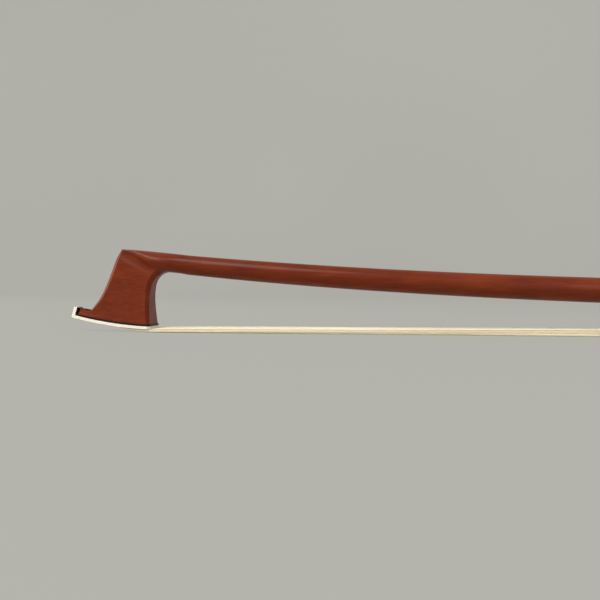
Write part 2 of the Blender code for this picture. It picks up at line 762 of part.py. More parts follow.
def heel_region(thickness):
    """Side view of the space behind and under the heel plate's inner face."""
    radius = HEEL_RADIUS - thickness
    centre = (FROG_REAR - HEEL_RADIUS, SOLE + HEEL_RADIUS)
    out = 0.003
    return [
        (FROG_TOP_REAR - thickness, 0.001),
        *reversed(arc(centre, radius, -90, 0, 5)),
        (HEEL_FOOT_FRONT, SOLE + thickness),
        (HEEL_FOOT_FRONT, SOLE - out),
        (FROG_REAR + out, SOLE - out),
        (FROG_REAR + out, 0.001),
    ]


HEEL_PINS = (
    ("heel_pin_upper", (FROG_REAR, 0, -0.0075), (1, 0, 0)),
    ("heel_pin_lower", (FROG_REAR, 0, -0.0140), (1, 0, 0)),
    ("heel_pin_foot", (-0.0260, 0, SOLE), (0, 0, -1)),
)
PIN_RADIUS = 0.0005
PIN_LENGTH = 0.0030
UNDERSLIDE_SCREWS = (("underslide_screw_front", -0.0550), ("underslide_screw_rear", -0.0240))
SCREW_HEAD_RADIUS = 0.0010
SCREW_SHANK_RADIUS = 0.0006
SCREW_LENGTH = 0.0035


def section_of_frog(name, material, region):
    """A piece that is flush with the frog's outside: the frog's form inside a region."""
    piece = link(name, side_outline(name, [frog_side_outline()], 0.009), material, handle_axis)
    combine(piece, cheeks, "INTERSECT")
    combine(piece, region, "INTERSECT")
    return piece


def build_frog_block():
    block = link("frog_block", side_outline("frog_block", [frog_side_outline()], 0.009), EBONY, handle_axis)
    combine(block, cheeks, "INTERSECT")
    inset = FERRULE_WALL + CHANNEL_GAP
    tongue = end_outline(
        "tongue_form", [ferrule_outline(inset, SOLE + 0.0012)], FERRULE_FRONT + GAP, FERRULE_REAR + 0.0008
    )
    combine(block, link("tongue_form", tongue, parent=handle_axis), "UNION")
    channel = octagon_points(HANDLE_FLATS / 2 + CHANNEL_GAP + UNDERSLIDE_THICKNESS + GLUE_GAP)
    channel_cut = link("channel_cut", end_outline("channel_cut", [channel], -0.070, -0.010), parent=handle_axis)
    combine(block, channel_cut, "DIFFERENCE")
    heel_cut = side_outline("heel_cut", [heel_region(HEEL_PLATE_THICKNESS + GLUE_GAP)], 0.009)
    combine(block, link("heel_cut", heel_cut, parent=handle_axis), "DIFFERENCE")
    combine(block, slide_track_cutter(), "DIFFERENCE")
    hair_top = HAIR_IN_FROG + HAIR_THICKNESS_FROG + CHANNEL_GAP
    hair_cut = cut_frog(
        "hair_cut", (-0.0700, -0.0041, SOLE + 0.0010), (FROG_MORTISE[1] - 0.001, 0.0041, hair_top)
    )
    combine(block, hair_cut, "DIFFERENCE")
    wedge_cut = cut_frog("wedge_cut", (-0.0700, -0.0080, SOLE), (-0.0569, 0.0080, SOLE + 0.0037))
    combine(block, wedge_cut, "DIFFERENCE")
    half = FROG_MORTISE_HALF_WIDTH
    mortise = cut_frog(
        "frog_mortise_cut",
        (FROG_MORTISE[0], -half, SOLE + 0.0010),
        (FROG_MORTISE[1], half, SOLE + FROG_MORTISE_HEIGHT),
    )
    combine(block, mortise, "DIFFERENCE")
    post = rod_mesh("post_cut", (EYELET_POSITION, 0, -0.0075), UP, 0.0073, 0.0019, 16)
    combine(block, link("post_cut", post, parent=handle_axis), "DIFFERENCE")
    for side, sign in (("left", 1), ("right", -1)):
        middle = (EYE_CENTRE[0], sign * (0.0053 - EYE_DEPTH + 0.002), EYE_CENTRE[1])
        recess = rod_mesh(f"eye_cut_{side}", middle, ACROSS, 0.004, EYE_RING_RADIUS + GLUE_GAP, 32)
        combine(block, link(f"eye_cut_{side}", recess, parent=handle_axis), "DIFFERENCE")
    for cutter in pin_cutters:
        combine(block, cutter, "DIFFERENCE")
    for name, u in UNDERSLIDE_SCREWS:
        hole = rod_mesh(f"{name}_cut", (u, 0, -0.0065), UP, 0.0050, SCREW_SHANK_RADIUS + GLUE_GAP, 10)
        combine(block, link(f"{name}_cut", hole, parent=handle_axis), "DIFFERENCE")


def slide_section(clearance):
    """End view of the slide's dovetail."""
    narrow = 0.0043 + clearance
    wide = 0.0047 + clearance
    top = SOLE + PEARL_THICKNESS + GLUE_GAP + BACKING_THICKNESS + clearance
    return [(-narrow, SOLE - clearance), (narrow, SOLE - clearance), (wide, top), (-wide, top)]


def slide_track_cutter():
    section = slide_section(GLUE_GAP)
    return link(
        "track_cut", end_outline("track_cut", [section], -0.0700, HEEL_FOOT_FRONT + 0.001), parent=handle_axis
    )


def build_slide():
    rear = HEEL_FOOT_FRONT - GLUE_GAP
    front = FERRULE_REAR + GLUE_GAP
    low = SOLE + PEARL_THICKNESS + GLUE_GAP
    backing = end_outline("slide_backing", [slide_section(0.0)], FERRULE_REAR - 0.0015, rear)
    backing = link("slide_backing", backing, EBONY, handle_axis)
    bed = cut_frog("pearl_bed_cut", (-0.0700, -PEARL_HALF_WIDTH - GLUE_GAP, SOLE - 0.001), (0, 0.00410, low))
    combine(backing, bed, "DIFFERENCE")
    lip = cut_frog("ferrule_lip_cut", (-0.0700, -0.0080, SOLE - 0.001), (front, 0.0080, HAIR_IN_FERRULE))
    combine(backing, lip, "DIFFERENCE")
    pearl = box_mesh(
        "slide_pearl", (front, -PEARL_HALF_WIDTH, SOLE), (rear, PEARL_HALF_WIDTH, SOLE + PEARL_THICKNESS)
    )
    link("slide_pearl", pearl, PEARL, handle_axis)


def build_ferrule():
    outer = ferrule_outline(0.0, SOLE)
    inner = ferrule_outline(FERRULE_WALL, SOLE + FERRULE_WALL)
    ferrule = end_outline("ferrule", [outer, inner], FERRULE_FRONT, FERRULE_REAR)
    link("ferrule", ferrule, SILVER, handle_axis)
    bottom = HAIR_IN_FERRULE + HAIR_THICKNESS_FROG + GLUE_GAP
    top = SOLE + 0.0036
    bm = bmesh.new()
    bmesh.ops.create_cube(bm, size=1.0)
    front, rear = FERRULE_FRONT + GAP, -0.0572
    for corner in bm.verts:
        at_rear = corner.co.x > 0
        corner.co.y *= 2 * (0.0054 if at_rear else 0.0060)
        corner.co.z = top - (0.0002 if at_rear else 0.0) if corner.co.z > 0 else bottom
        corner.co.x = rear if at_rear else front
    link("ferrule_wedge", finish_mesh("ferrule_wedge", bm), MAPLE, handle_axis)


def build_frog_fittings():
    front, rear = FROG_MORTISE
    half = FROG_MORTISE_HALF_WIDTH - 0.0001
    bottom = HAIR_IN_FROG + HAIR_THICKNESS_FROG + GLUE_GAP
    plug = box_mesh("frog_plug", (front + 0.0001, -half, bottom), (rear - 0.0023, half, SOLE + 0.0062))
    link("frog_plug", plug, MAPLE, handle_axis)
    knot = turned("frog_knot", capsule_profile(0.0014, 0.0031), THREAD, handle_axis, sides=12)
    knot.location = (rear - 0.0018, 0, SOLE + 0.0079)
    knot.rotation_euler = (math.pi / 2, 0, 0)


def build_heel_plate():
    region = side_outline("heel_region", [heel_region(HEEL_PLATE_THICKNESS)], 0.009)
    plate = section_of_frog("heel_plate", SILVER, link("heel_region", region, parent=handle_axis))
    channel = octagon_points(HANDLE_FLATS / 2 + CHANNEL_GAP)
    cut = end_outline("heel_channel_cut", [channel], -0.070, -0.010)
    combine(plate, link("heel_channel_cut", cut, parent=handle_axis), "DIFFERENCE")
    for cutter in pin_cutters:
        combine(plate, cutter, "DIFFERENCE")
    for name, outside, direction in HEEL_PINS:
        inward = -Vector(direction)
        lean = 0.0004 if direction[0] else 0.00002
        middle = Vector(outside) + inward * (PIN_LENGTH / 2 + lean)
        link(name, rod_mesh(name, middle, direction, PIN_LENGTH, PIN_RADIUS, 12), SILVER, handle_axis)


def build_pin_cutters():
    found = []
    for name, outside, direction in HEEL_PINS:
        inward = -Vector(direction)
        depth = PIN_LENGTH + 0.0015
        middle = Vector(outside) + inward * (depth / 2 - 0.0008)
        mesh = rod_mesh(f"{name}_cut", middle, direction, depth, PIN_RADIUS + GLUE_GAP, 12)
        found.append(link(f"{name}_cut", mesh, parent=handle_axis))
    return found


def build_underslide():
    """Three-sided lining between the frog and the stick's lower facets."""
    apothem = HANDLE_FLATS / 2 + CHANNEL_GAP
    outer = octagon_points(apothem + UNDERSLIDE_THICKNESS)
    inner = octagon_points(apothem)
    root_two = math.sqrt(2)
    outer_tip = (apothem + UNDERSLIDE_THICKNESS) * root_two + WING_TOP
    inner_tip = apothem * root_two + WING_TOP
    lower = (5, 6)
    section = [(-outer_tip, WING_TOP), *(outer[i] for i in lower), (outer_tip, WING_TOP)]
    section += [(inner_tip, WING_TOP), *(inner[i] for i in reversed(lower)), (-inner_tip, WING_TOP)]
    front = FROG_TOP_FRONT + 0.0001
    rear = FROG_TOP_REAR - HEEL_PLATE_THICKNESS - GLUE_GAP
    underslide = link("underslide", end_outline("underslide", [section], front, rear), SILVER, handle_axis)
    hole = rod_mesh("underslide_post_cut", (EYELET_POSITION, 0, -0.005), UP, 0.004, 0.0021, 16)
    combine(underslide, link("underslide_post_cut", hole, parent=handle_axis), "DIFFERENCE")
    floor = -apothem
    for name, u in UNDERSLIDE_SCREWS:
        sink = rod_mesh(
            f"{name}_sink", (u, 0, floor - 0.00015), UP, 0.0007,
            SCREW_SHANK_RADIUS + GLUE_GAP, 12, SCREW_HEAD_RADIUS + 0.0002,
        )
        combine(underslide, link(f"{name}_sink", sink, parent=handle_axis), "DIFFERENCE")
        head = 0.0004
        profile = [
            (0.0, floor - 0.00003),
            (SCREW_HEAD_RADIUS - 0.0001, floor - 0.00003),
            (SCREW_SHANK_RADIUS - 0.00005, floor - head),
            (SCREW_SHANK_RADIUS - 0.00005, floor - SCREW_LENGTH + 0.0006),
            (0.0, floor - SCREW_LENGTH),
        ]
        screw = turned(name, profile, SILVER, handle_axis, sides=10)
        screw.location = (u, 0, 0)
        screw.rotation_euler = (0, 0, 0)


def build_eyes():
    """Pearl dots in silver rings, flush with the cheeks."""
    for side, sign in (("left", 1), ("right", -1)):
        middle = Vector((EYE_CENTRE[0], sign * (0.0053 - EYE_DEPTH + GLUE_GAP + 0.002), EYE_CENTRE[1]))
        disc = rod_mesh(f"eye_region_{side}", middle, ACROSS, 0.004, EYE_RADIUS - GLUE_GAP, 32)
        section_of_frog(f"eye_{side}", PEARL, link(f"eye_region_{side}", disc, parent=handle_axis))
        ring = rod_mesh(f"eye_ring_region_{side}", middle, ACROSS, 0.004, EYE_RING_RADIUS, 32)
        ring_piece = section_of_frog(
            f"eye_ring_{side}", SILVER, link(f"eye_ring_region_{side}", ring, parent=handle_axis)
        )
        hole = rod_mesh(f"eye_hole_{side}", middle, ACROSS, 0.006, EYE_RADIUS, 32)
        combine(ring_piece, link(f"eye_hole_{side}", hole, parent=handle_axis), "DIFFERENCE")


def build_eyelet():
    """Brass eye on a post: the screw runs through it and the frog hangs on its post."""
    half = EYELET_WIDTH / 2
    bottom = -HANDLE_FLATS / 2 + GAP
    outline = arc((0, 0), half, 0, 180, 8) + [(-half, bottom), (half, bottom)]
    start = EYELET_POSITION - EYELET_LENGTH / 2
    eye = end_outline("eyelet", [outline], start, start + EYELET_LENGTH)
    eyelet = link("eyelet", eye, BRASS, handle_axis)
    post = rod_mesh("post_form", (EYELET_POSITION, 0, -0.0073), UP, 0.0065, 0.0018, 16)
    combine(eyelet, link("post_form", post, parent=handle_axis), "UNION")
    bore = rod_mesh("eyelet_bore_cut", (EYELET_POSITION, 0, 0), ALONG, 0.008, EYELET_BORE_RADIUS, 24)
    combine(eyelet, link("eyelet_bore_cut", bore, parent=handle_axis), "DIFFERENCE")


# Screw and button

def build_screw():
    end = CORE[1] - 0.0006
    profile = [
        (0.0, end),
        (SCREW_RADIUS - 0.0003, end),
        (SCREW_RADIUS, end - 0.0003),
        (SCREW_RADIUS, PILOT_START + 0.0003),
        (PILOT_RADIUS, PILOT_START),
        (PILOT_RADIUS, SCREW_TIP + 0.0004),
        (PILOT_RADIUS - 0.0004, SCREW_TIP),
        (0.0, SCREW_TIP),
    ]
    turned("screw", profile, STEEL, handle_axis, sides=20)


def facet_radius(flats):
    """Corner radius of an octagon from its width across flats."""
    return flats / 2 / math.cos(math.pi / 8)


def button_piece(name, profile, material):
    return turned(name, profile, material, handle_axis, sides=8, turn=math.pi / 8)


def ring_profile(start, end, front_bevel, rear_bevel):
    outside = facet_radius(BUTTON_FLATS)
    return [
        (0.0, end),
        (outside - rear_bevel, end),
        (outside, end - rear_bevel),
        (outside, start + front_bevel),
        (outside - front_bevel, start),
        (0.0, start),
    ]


def build_button():
    neck = 0.0004
    core = button_piece("button_core", ring_profile(RING_FRONT[1] + GLUE_GAP, RING_REAR[0] - GLUE_GAP, neck, neck),
                        EBONY)
    tenon = rod_mesh("tenon_form", (sum(CORE) / 2, 0, 0), ALONG, CORE[1] - CORE[0], TENON_RADIUS, 24)
    combine(core, link("tenon_form", tenon, parent=handle_axis), "UNION")
    nipple_room = rod_mesh("nipple_cut", (0.0, 0, 0), ALONG, 2 * (NIPPLE_LENGTH + GAP), NIPPLE_RADIUS + GAP, 20)
    nipple_room = link("nipple_cut", nipple_room, parent=handle_axis)
    combine(core, nipple_room, "DIFFERENCE")
    seat = CORE[1] - 0.0005
    shank = rod_mesh("shank_cut", (seat / 2, 0, 0), ALONG, seat, SCREW_RADIUS + 0.0001, 20)
    combine(core, link("shank_cut", shank, parent=handle_axis), "DIFFERENCE")

    room = rod_mesh("tenon_cut", (sum(CORE) / 2, 0, 0), ALONG, CORE[1] - CORE[0] + 2 * GLUE_GAP,
                    TENON_RADIUS + GLUE_GAP, 24)
    room = link("tenon_cut", room, parent=handle_axis)
    front = button_piece("button_ring_front", ring_profile(*RING_FRONT, 0.0003, neck), SILVER)
    combine(front, room, "DIFFERENCE")
    combine(front, nipple_room, "DIFFERENCE")
    rear = button_piece("button_ring_rear", ring_profile(*RING_REAR, neck, 0.0007), SILVER)
    combine(rear, room, "DIFFERENCE")
    eye_radius = 0.0026
    eye_depth = 0.0008
    seat = rod_mesh("button_eye_cut", (RING_REAR[1], 0, 0), ALONG, 2 * eye_depth, eye_radius + GLUE_GAP, 24)
    combine(rear, link("button_eye_cut", seat, parent=handle_axis), "DIFFERENCE")
    eye = rod_mesh("button_eye", (RING_REAR[1] - eye_depth / 2 + GLUE_GAP / 2, 0, 0), ALONG,
                   eye_depth - GLUE_GAP, eye_radius, 24)
    link("button_eye", eye, PEARL, handle_axis)

    for name, u, piece in (("button_pin_front", 0.0024, front), ("button_pin_rear", 0.0118, rear)):
        top = BUTTON_FLATS / 2
        depth = 0.0020
        middle = (u, 0, top - depth / 2 - 0.00002)
        link(name, rod_mesh(name, middle, UP, depth, 0.00035, 10), SILVER, handle_axis)
        hole = rod_mesh(f"{name}_cut", (u, 0, top - 0.0007), UP, 0.0030, 0.0004, 10)
        hole = link(f"{name}_cut", hole, parent=handle_axis)
        combine(piece, hole, "DIFFERENCE")
        combine(core, hole, "DIFFERENCE")


build_stick()
build_plate()
build_tip_fittings()
link("hair", loft_mesh("hair", hair_rings()), HORSEHAIR)
build_sleeves()
cheeks = link("cheeks", end_outline("cheeks", [frog_end_outline()], -0.0700, -0.0100), parent=handle_axis)
pin_cutters = build_pin_cutters()
build_frog_block()
build_slide()
build_ferrule()
build_frog_fittings()
build_heel_plate()
build_underslide()
build_eyes()
build_eyelet()
build_screw()
build_button()
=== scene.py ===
"""Looks of the viola bow: finer wood, single hairs, wound wire, leather and the finish of every surface.

Lengths are in metres. A "station" is a distance along X from the front of the beak.
"""

import math
import random

import bmesh
import bpy
from mathutils import Matrix, Vector


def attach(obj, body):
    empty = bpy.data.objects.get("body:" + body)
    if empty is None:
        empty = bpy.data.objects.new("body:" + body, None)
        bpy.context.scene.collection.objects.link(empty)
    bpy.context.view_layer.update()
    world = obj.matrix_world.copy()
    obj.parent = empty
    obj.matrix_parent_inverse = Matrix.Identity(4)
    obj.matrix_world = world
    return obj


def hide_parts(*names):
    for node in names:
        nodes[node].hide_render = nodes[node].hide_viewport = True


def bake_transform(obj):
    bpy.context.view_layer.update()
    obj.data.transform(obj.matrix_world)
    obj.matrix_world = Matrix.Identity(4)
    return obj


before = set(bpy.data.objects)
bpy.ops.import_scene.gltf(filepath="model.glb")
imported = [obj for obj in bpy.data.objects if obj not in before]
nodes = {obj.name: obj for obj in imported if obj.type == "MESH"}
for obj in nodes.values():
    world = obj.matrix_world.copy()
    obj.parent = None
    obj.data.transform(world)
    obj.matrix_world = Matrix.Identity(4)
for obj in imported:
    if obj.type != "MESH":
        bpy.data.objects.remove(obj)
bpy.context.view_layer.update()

STICK = "stick_body"

# The stick's shape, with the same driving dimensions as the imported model
BOW_LENGTH = 0.7420
MIDDLE = BOW_LENGTH / 2
RING_POINTS = 64
SHAFT_START = 0.0360
CAMBER_HEIGHT = 0.02042
CAMBER_START = 0.0335
CAMBER_END_SLOPE = 0.102
CAMBER_DROP = 0.199
CAMBER_REACH = 0.251
HANDLE_START = 0.6400
STICK_END = 0.7275
STICK_TIP_DIAMETER = 0.00570
HANDLE_FLATS = 0.0087
TAPER_START = 0.0300
TAPER_END = 0.6200
TAPER_KNEE = 0.0460
OCTAGON_START = 0.6000
OCTAGON_END = 0.6200
PLATE_REAR = 0.0255
PLATE_REAR_HEIGHT = 0.0009
PLATE_RISE = 0.030
PLATE_CURVE = 4.0
WOOD_LIFT = 0.00145
HEAD_MORTISE = (0.0143, 0.0227)
HEAD_MORTISE_HALF_WIDTH = 0.00245
HEAD_MORTISE_TOP = 0.0088
SLOT = (-0.0480, -0.0338)
SLOT_HALF_WIDTH = 0.00235
SLOT_TOP = 0.0026
BORE_RADIUS = 0.00165
NIPPLE_LENGTH = 0.0019
NIPPLE_RADIUS = 0.0028
LAPPING = (0.5600, 0.6335)
LEATHER = (0.6337, 0.6630)
GLUE_GAP = 0.00005

# Camera: the photo's place and angle, 190 mm from the bow
CAMERA_PLACE = (-0.2845, -0.1900, 0.01288)
CAMERA_YAW = 5.0
CAMERA_PITCH = -0.9
CAMERA_ROLL = 0.22
FOCAL_PIXELS = 640.0
IMAGE_PIXELS = 600.0
SENSOR = 36.0
CAMERA_NEAR = 0.005

random.seed(7)


# Building blocks

def camber(station):
    """Height and slope of the stick's centre line."""
    x = min(station, HANDLE_START) - CAMBER_START
    height = CAMBER_HEIGHT + CAMBER_END_SLOPE * x
    height -= CAMBER_DROP * CAMBER_REACH * math.log(1 + x / CAMBER_REACH)
    slope = CAMBER_END_SLOPE - CAMBER_DROP / (1 + x / CAMBER_REACH)
    return height + slope * max(0.0, station - HANDLE_START), slope


def stick_diameter(station):
    """Logarithmic taper, from the head to the octagonal handle."""
    reach = max(0.0, min(station, TAPER_END) - TAPER_START)
    share = math.log(1 + reach / TAPER_KNEE) / math.log(1 + (TAPER_END - TAPER_START) / TAPER_KNEE)
    return STICK_TIP_DIAMETER + (HANDLE_FLATS - STICK_TIP_DIAMETER) * share


def section_radius(station, angle):
    """Radius of the stick's surface: round along the shaft, octagonal at the handle."""
    radius = stick_diameter(station) / 2
    eighth = math.pi / 4
    octagon = 1 / math.cos((angle + eighth / 2) % eighth - eighth / 2)
    share = (station - OCTAGON_START) / (OCTAGON_END - OCTAGON_START)
    return radius * (1 + (octagon - 1) * max(0.0, min(1.0, share)))


def stick_ring(station, offset=0.0):
    """Points round the stick, from the top, square to its centre line."""
    height, slope = camber(station)
    up = Vector((-slope, 0, 1)).normalized()
    centre = Vector((station - MIDDLE, 0, height))
    ring = []
    for i in range(RING_POINTS):
        angle = 2 * math.pi * i / RING_POINTS
        radius = section_radius(station, angle) + offset
        ring.append(centre + up * radius * math.cos(angle) + Vector((0, radius * math.sin(angle), 0)))
    return ring


HANDLE_ANGLE = math.atan(camber(STICK_END)[1])
HANDLE_PLACE = Matrix.Translation((STICK_END - MIDDLE, 0, camber(STICK_END)[0]))
HANDLE = HANDLE_PLACE @ Matrix.Rotation(-HANDLE_ANGLE, 4, "Y")
ALONG = (1, 0, 0)


def finish_mesh(name, bm):
    """Mesh with outward faces from a finished bmesh."""
    bmesh.ops.recalc_face_normals(bm, faces=bm.faces)
    mesh = bpy.data.meshes.new(name)
    bm.to_mesh(mesh)
    bm.free()
    return mesh


def box_mesh(name, low, high):
    """A box between two corners."""
    bm = bmesh.new()
    bmesh.ops.create_cube(bm, size=1.0)
    size = [b - a for a, b in zip(low, high)]
    centre = [(a + b) / 2 for a, b in zip(low, high)]
    bmesh.ops.scale(bm, vec=size, verts=bm.verts)
    bmesh.ops.translate(bm, vec=centre, verts=bm.verts)
    return finish_mesh(name, bm)


def rod_mesh(name, centre, direction, length, radius, sides):
    """A cylinder about its centre, along a direction."""
    bm = bmesh.new()
    bmesh.ops.create_cone(bm, cap_ends=True, segments=sides, radius1=radius, radius2=radius, depth=length)
    turn = Vector((0, 0, 1)).rotation_difference(Vector(direction)).to_matrix().to_4x4()
    bmesh.ops.transform(bm, matrix=Matrix.Translation(centre) @ turn, verts=bm.verts)
    return finish_mesh(name, bm)


def loft_mesh(name, rings, inner=None, strip_start=False):
    """Skin over rings of equal counts. With inner rings it is a tube, otherwise its ends are filled.

    A first ring that isn't flat is filled in strips from side to side.
    """
    bm = bmesh.new()
    count = len(rings[0])

    def skin(loops):
        """Vertices of each loop, joined to the next loop by faces."""
        rows = [[bm.verts.new(point) for point in ring] for ring in loops]
        for row, following in zip(rows, rows[1:]):
            for i in range(count):
                j = (i + 1) % count
                bm.faces.new((row[i], row[j], following[j], following[i]))
        return rows

    rows = skin(rings)
    if inner:
        inside = skin(inner)
        for outer_row, inner_row in ((rows[0], inside[0]), (rows[-1], inside[-1])):
            for i in range(count):
                j = (i + 1) % count
                bm.faces.new((outer_row[i], outer_row[j], inner_row[j], inner_row[i]))
    sides = list(bm.faces)
    if not inner:
        first = rows[0]
        last_strip = count // 2 - START_FLAT - 1 if strip_start else 0
        for i in range(last_strip):
            strip = (first[i], first[i + 1], first[(-i - 1) % count], first[-i % count])
            bm.faces.new(dict.fromkeys(strip))
        bm.faces.new(first[last_strip:count - last_strip + 1] if last_strip else first)
        bm.faces.new(rows[-1])
    bmesh.ops.triangulate(bm, faces=sides)
    return finish_mesh(name, bm)


def add_piece(name, mesh, material, body, sharp=None):
    """Object with one material and, if it has one, the body that it rides on."""
    piece = bpy.data.objects.new(name, mesh)
    bpy.context.scene.collection.objects.link(piece)
    mesh.materials.clear()
    mesh.materials.append(material)
    mesh.shade_smooth()
    if sharp:
        mesh.set_sharp_from_angle(angle=math.radians(sharp))
    if body:
        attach(piece, body)
    return piece


# Materials. Noise scales are in cycles per metre along X, across Y and up Z; bump depths are in metres

FIBRES = (90.0, 2600.0, 2600.0)
FIBRE_SHARE = 0.55
FIGURE = (70.0, 260.0, 260.0)
PORES = (420.0, 9000.0, 9000.0)
PORE_DEPTH = 0.000012
PORE_SHARE = 0.35
PORE_TINT = (0.35, 0.30, 0.28)
TARNISH = (700.0, 700.0, 700.0)
SCRATCHES = (300.0, 9000.0, 9000.0)
SCRATCH_DEPTH = 0.000004
NACRE = (420.0, 900.0, 700.0)
NACRE_DEPTH = 0.00001
LEATHER_CELLS = (2100.0, 2100.0, 2100.0)
LEATHER_WEAR = (160.0, 160.0, 160.0)
LEATHER_DEPTH = 0.00006
BONE_GRAIN = (120.0, 900.0, 900.0)
BONE_DEPTH = 0.000006
HAIR_GRAIN = (25.0, 3500.0, 3500.0)
HAIR_DEPTH = 0.000004
THREAD_TWIST = (3000.0, 3000.0, 3000.0)
THREAD_DEPTH = 0.00004
BLACK = (0, 0, 0)
WHITE = (1, 1, 1)


class Shade:
    """A procedural material on object coordinates in metres."""

    def __init__(self, name, **sockets):
        """Start from a plain shader. Underscores stand for spaces in socket names."""
        self.material = bpy.data.materials.new(name)
        self.material.use_nodes = True
        self.tree = self.material.node_tree
        self.shader = self.tree.nodes["Principled BSDF"]
        self.coordinates = self.tree.nodes.new("ShaderNodeTexCoord")
        for socket, value in sockets.items():
            self.shader.inputs[socket.replace("_", " ")].default_value = value

    def node(self, kind, **values):
        """Add a node and set its sockets or, where it has no such socket, its properties."""
        made = self.tree.nodes.new(kind)
        for key, value in values.items():
            if key.replace("_", " ") in made.inputs:
                made.inputs[key.replace("_", " ")].default_value = value
            else:
                setattr(made, key, value)
        return made

    def link(self, start, end):
        """Join an output to an input."""
        self.tree.links.new(start, end)

    def place(self, scale):
        """Object coordinates, scaled along each axis, in cycles per metre."""
        mapping = self.node("ShaderNodeMapping", Scale=scale)
        self.link(self.coordinates.outputs["Object"], mapping.inputs["Vector"])
        return mapping.outputs["Vector"]

    def noise(self, scale, detail=4.0, roughness=0.55, distortion=0.0):
        """Noise from 0 to 1, stretched by the scale along each axis."""
        settings = {"Scale": 1.0, "Detail": detail, "Roughness": roughness, "Distortion": distortion}
        made = self.node("ShaderNodeTexNoise", **settings)
        self.link(self.place(scale), made.inputs["Vector"])
        return made.outputs["Fac"]

    def ramp(self, source, stops):
        """Colours at given places along a value."""
        made = self.node("ShaderNodeValToRGB")
        elements = made.color_ramp.elements
        elements[0].position, elements[0].color = stops[0][0], (*stops[0][1], 1)
        elements[1].position, elements[1].color = stops[-1][0], (*stops[-1][1], 1)
        for position, colour in stops[1:-1]:
            elements.new(position).color = (*colour, 1)
        self.link(source, made.inputs["Fac"])
        return made.outputs["Color"]

    def between(self, source, low, high):
        """A value from 0 to 1, brought between low and high."""
        made = self.node("ShaderNodeMapRange", To_Min=low, To_Max=high)
        self.link(source, made.inputs["Value"])
        return made.outputs["Result"]

    def mix(self, share, a, b, blend="MIX"):
        """Mix two colours, each a tuple or a socket, by a number or a socket."""
        made = self.node("ShaderNodeMix", data_type="RGBA", blend_type=blend)
        if isinstance(share, float):
            made.inputs[0].default_value = share
        else:
            self.link(share, made.inputs[0])
        for index, colour in ((6, a), (7, b)):
            if isinstance(colour, tuple):
                made.inputs[index].default_value = (*colour, 1)
            else:
                self.link(colour, made.inputs[index])
        return made.outputs[2]

    def colour(self, source):
        """Base colour from a socket."""
        self.link(source, self.shader.inputs["Base Color"])

    def rough(self, source, low, high):
        """Roughness that follows a value."""
        self.link(self.between(source, low, high), self.shader.inputs["Roughness"])

    def bump(self, source, depth):
        """Surface relief of a given depth."""
        made = self.node("ShaderNodeBump", Strength=1.0, Distance=depth)
        self.link(source, made.inputs["Height"])
        self.link(made.outputs["Normal"], self.shader.inputs["Normal"])


def wood(name, dark, middle, light, roughness, coat):
    """Wood with fibres along X, darker pores and a cloudy figure under varnish."""
    shade = Shade(name, Coat_Weight=coat, Coat_Roughness=0.14, Specular_IOR_Level=0.15)
    fibres = shade.noise(FIBRES, 5.0, 0.6)
    cloud = shade.noise(FIGURE, 3.0, 0.5, 0.6)
    pores = shade.noise(PORES, 2.0, 0.5)
    base = shade.ramp(cloud, ((0.30, dark), (0.52, middle), (0.74, light)))
    streaks = shade.ramp(fibres, ((0.30, dark), (0.55, middle), (0.75, light)))
    streaked = shade.mix(FIBRE_SHARE, base, streaks)
    pore_colour = shade.ramp(pores, ((0.30, PORE_TINT), (0.42, WHITE)))
    shade.colour(shade.mix(PORE_SHARE, streaked, pore_colour, "MULTIPLY"))
    shade.rough(fibres, roughness - 0.06, roughness + 0.08)
    shade.bump(pores, PORE_DEPTH)
    return shade.material


def metal(name, colour, worn, roughness):
    """Polished metal with cloudy tarnish and fine scratches along X."""
    shade = Shade(name, Metallic=1.0)
    tarnish = shade.noise(TARNISH, 5.0)
    scratches = shade.noise(SCRATCHES, 3.0, 0.7)
    shade.colour(shade.mix(shade.between(tarnish, 0.0, 0.6), colour, worn))
    shade.rough(scratches, roughness - 0.06, roughness + 0.12)
    shade.bump(scratches, SCRATCH_DEPTH)
    return shade.material


def pearl_material():
    """Mother-of-pearl: waves of pale green, pink and blue."""
    shade = Shade("pearl", Coat_Weight=0.7, Coat_Roughness=0.05)
    waves = shade.noise(NACRE, 3.0, 0.5, 1.6)
    colour = shade.ramp(waves, (
        (0.25, (0.50, 0.62, 0.60)), (0.42, (0.78, 0.84, 0.80)), (0.52, (0.90, 0.84, 0.84)),
        (0.62, (0.72, 0.84, 0.88)), (0.80, (0.90, 0.90, 0.82)),
    ))
    shade.colour(colour)
    shade.rough(waves, 0.14, 0.30)
    shade.bump(waves, NACRE_DEPTH)
    return shade.material


def plain_material(name, low, high, scale, roughness, depth, **sockets):
    """Colour that varies with noise, with the same noise as roughness and bump."""
    shade = Shade(name, **sockets)
    grain = shade.noise(scale, 5.0)
    shade.colour(shade.ramp(grain, ((0.30, low), (0.70, high))))
    shade.rough(grain, roughness - 0.05, roughness + 0.08)
    shade.bump(grain, depth)
    return shade.material


def leather_material():
    """Dark leather with raised cells and uneven wear."""
    shade = Shade("leather", Specular_IOR_Level=0.35)
    cells = shade.node("ShaderNodeTexVoronoi", Scale=1.0, feature="DISTANCE_TO_EDGE")
    shade.link(shade.place(LEATHER_CELLS), cells.inputs["Vector"])
    wear = shade.noise(LEATHER_WEAR, 4.0)
    shade.colour(shade.ramp(wear, ((0.30, (0.022, 0.011, 0.007)), (0.70, (0.060, 0.030, 0.018)))))
    shade.rough(wear, 0.45, 0.65)
    grain = shade.ramp(cells.outputs["Distance"], ((0.0, BLACK), (0.22, WHITE)))
    shade.bump(grain, LEATHER_DEPTH)
    return shade.material


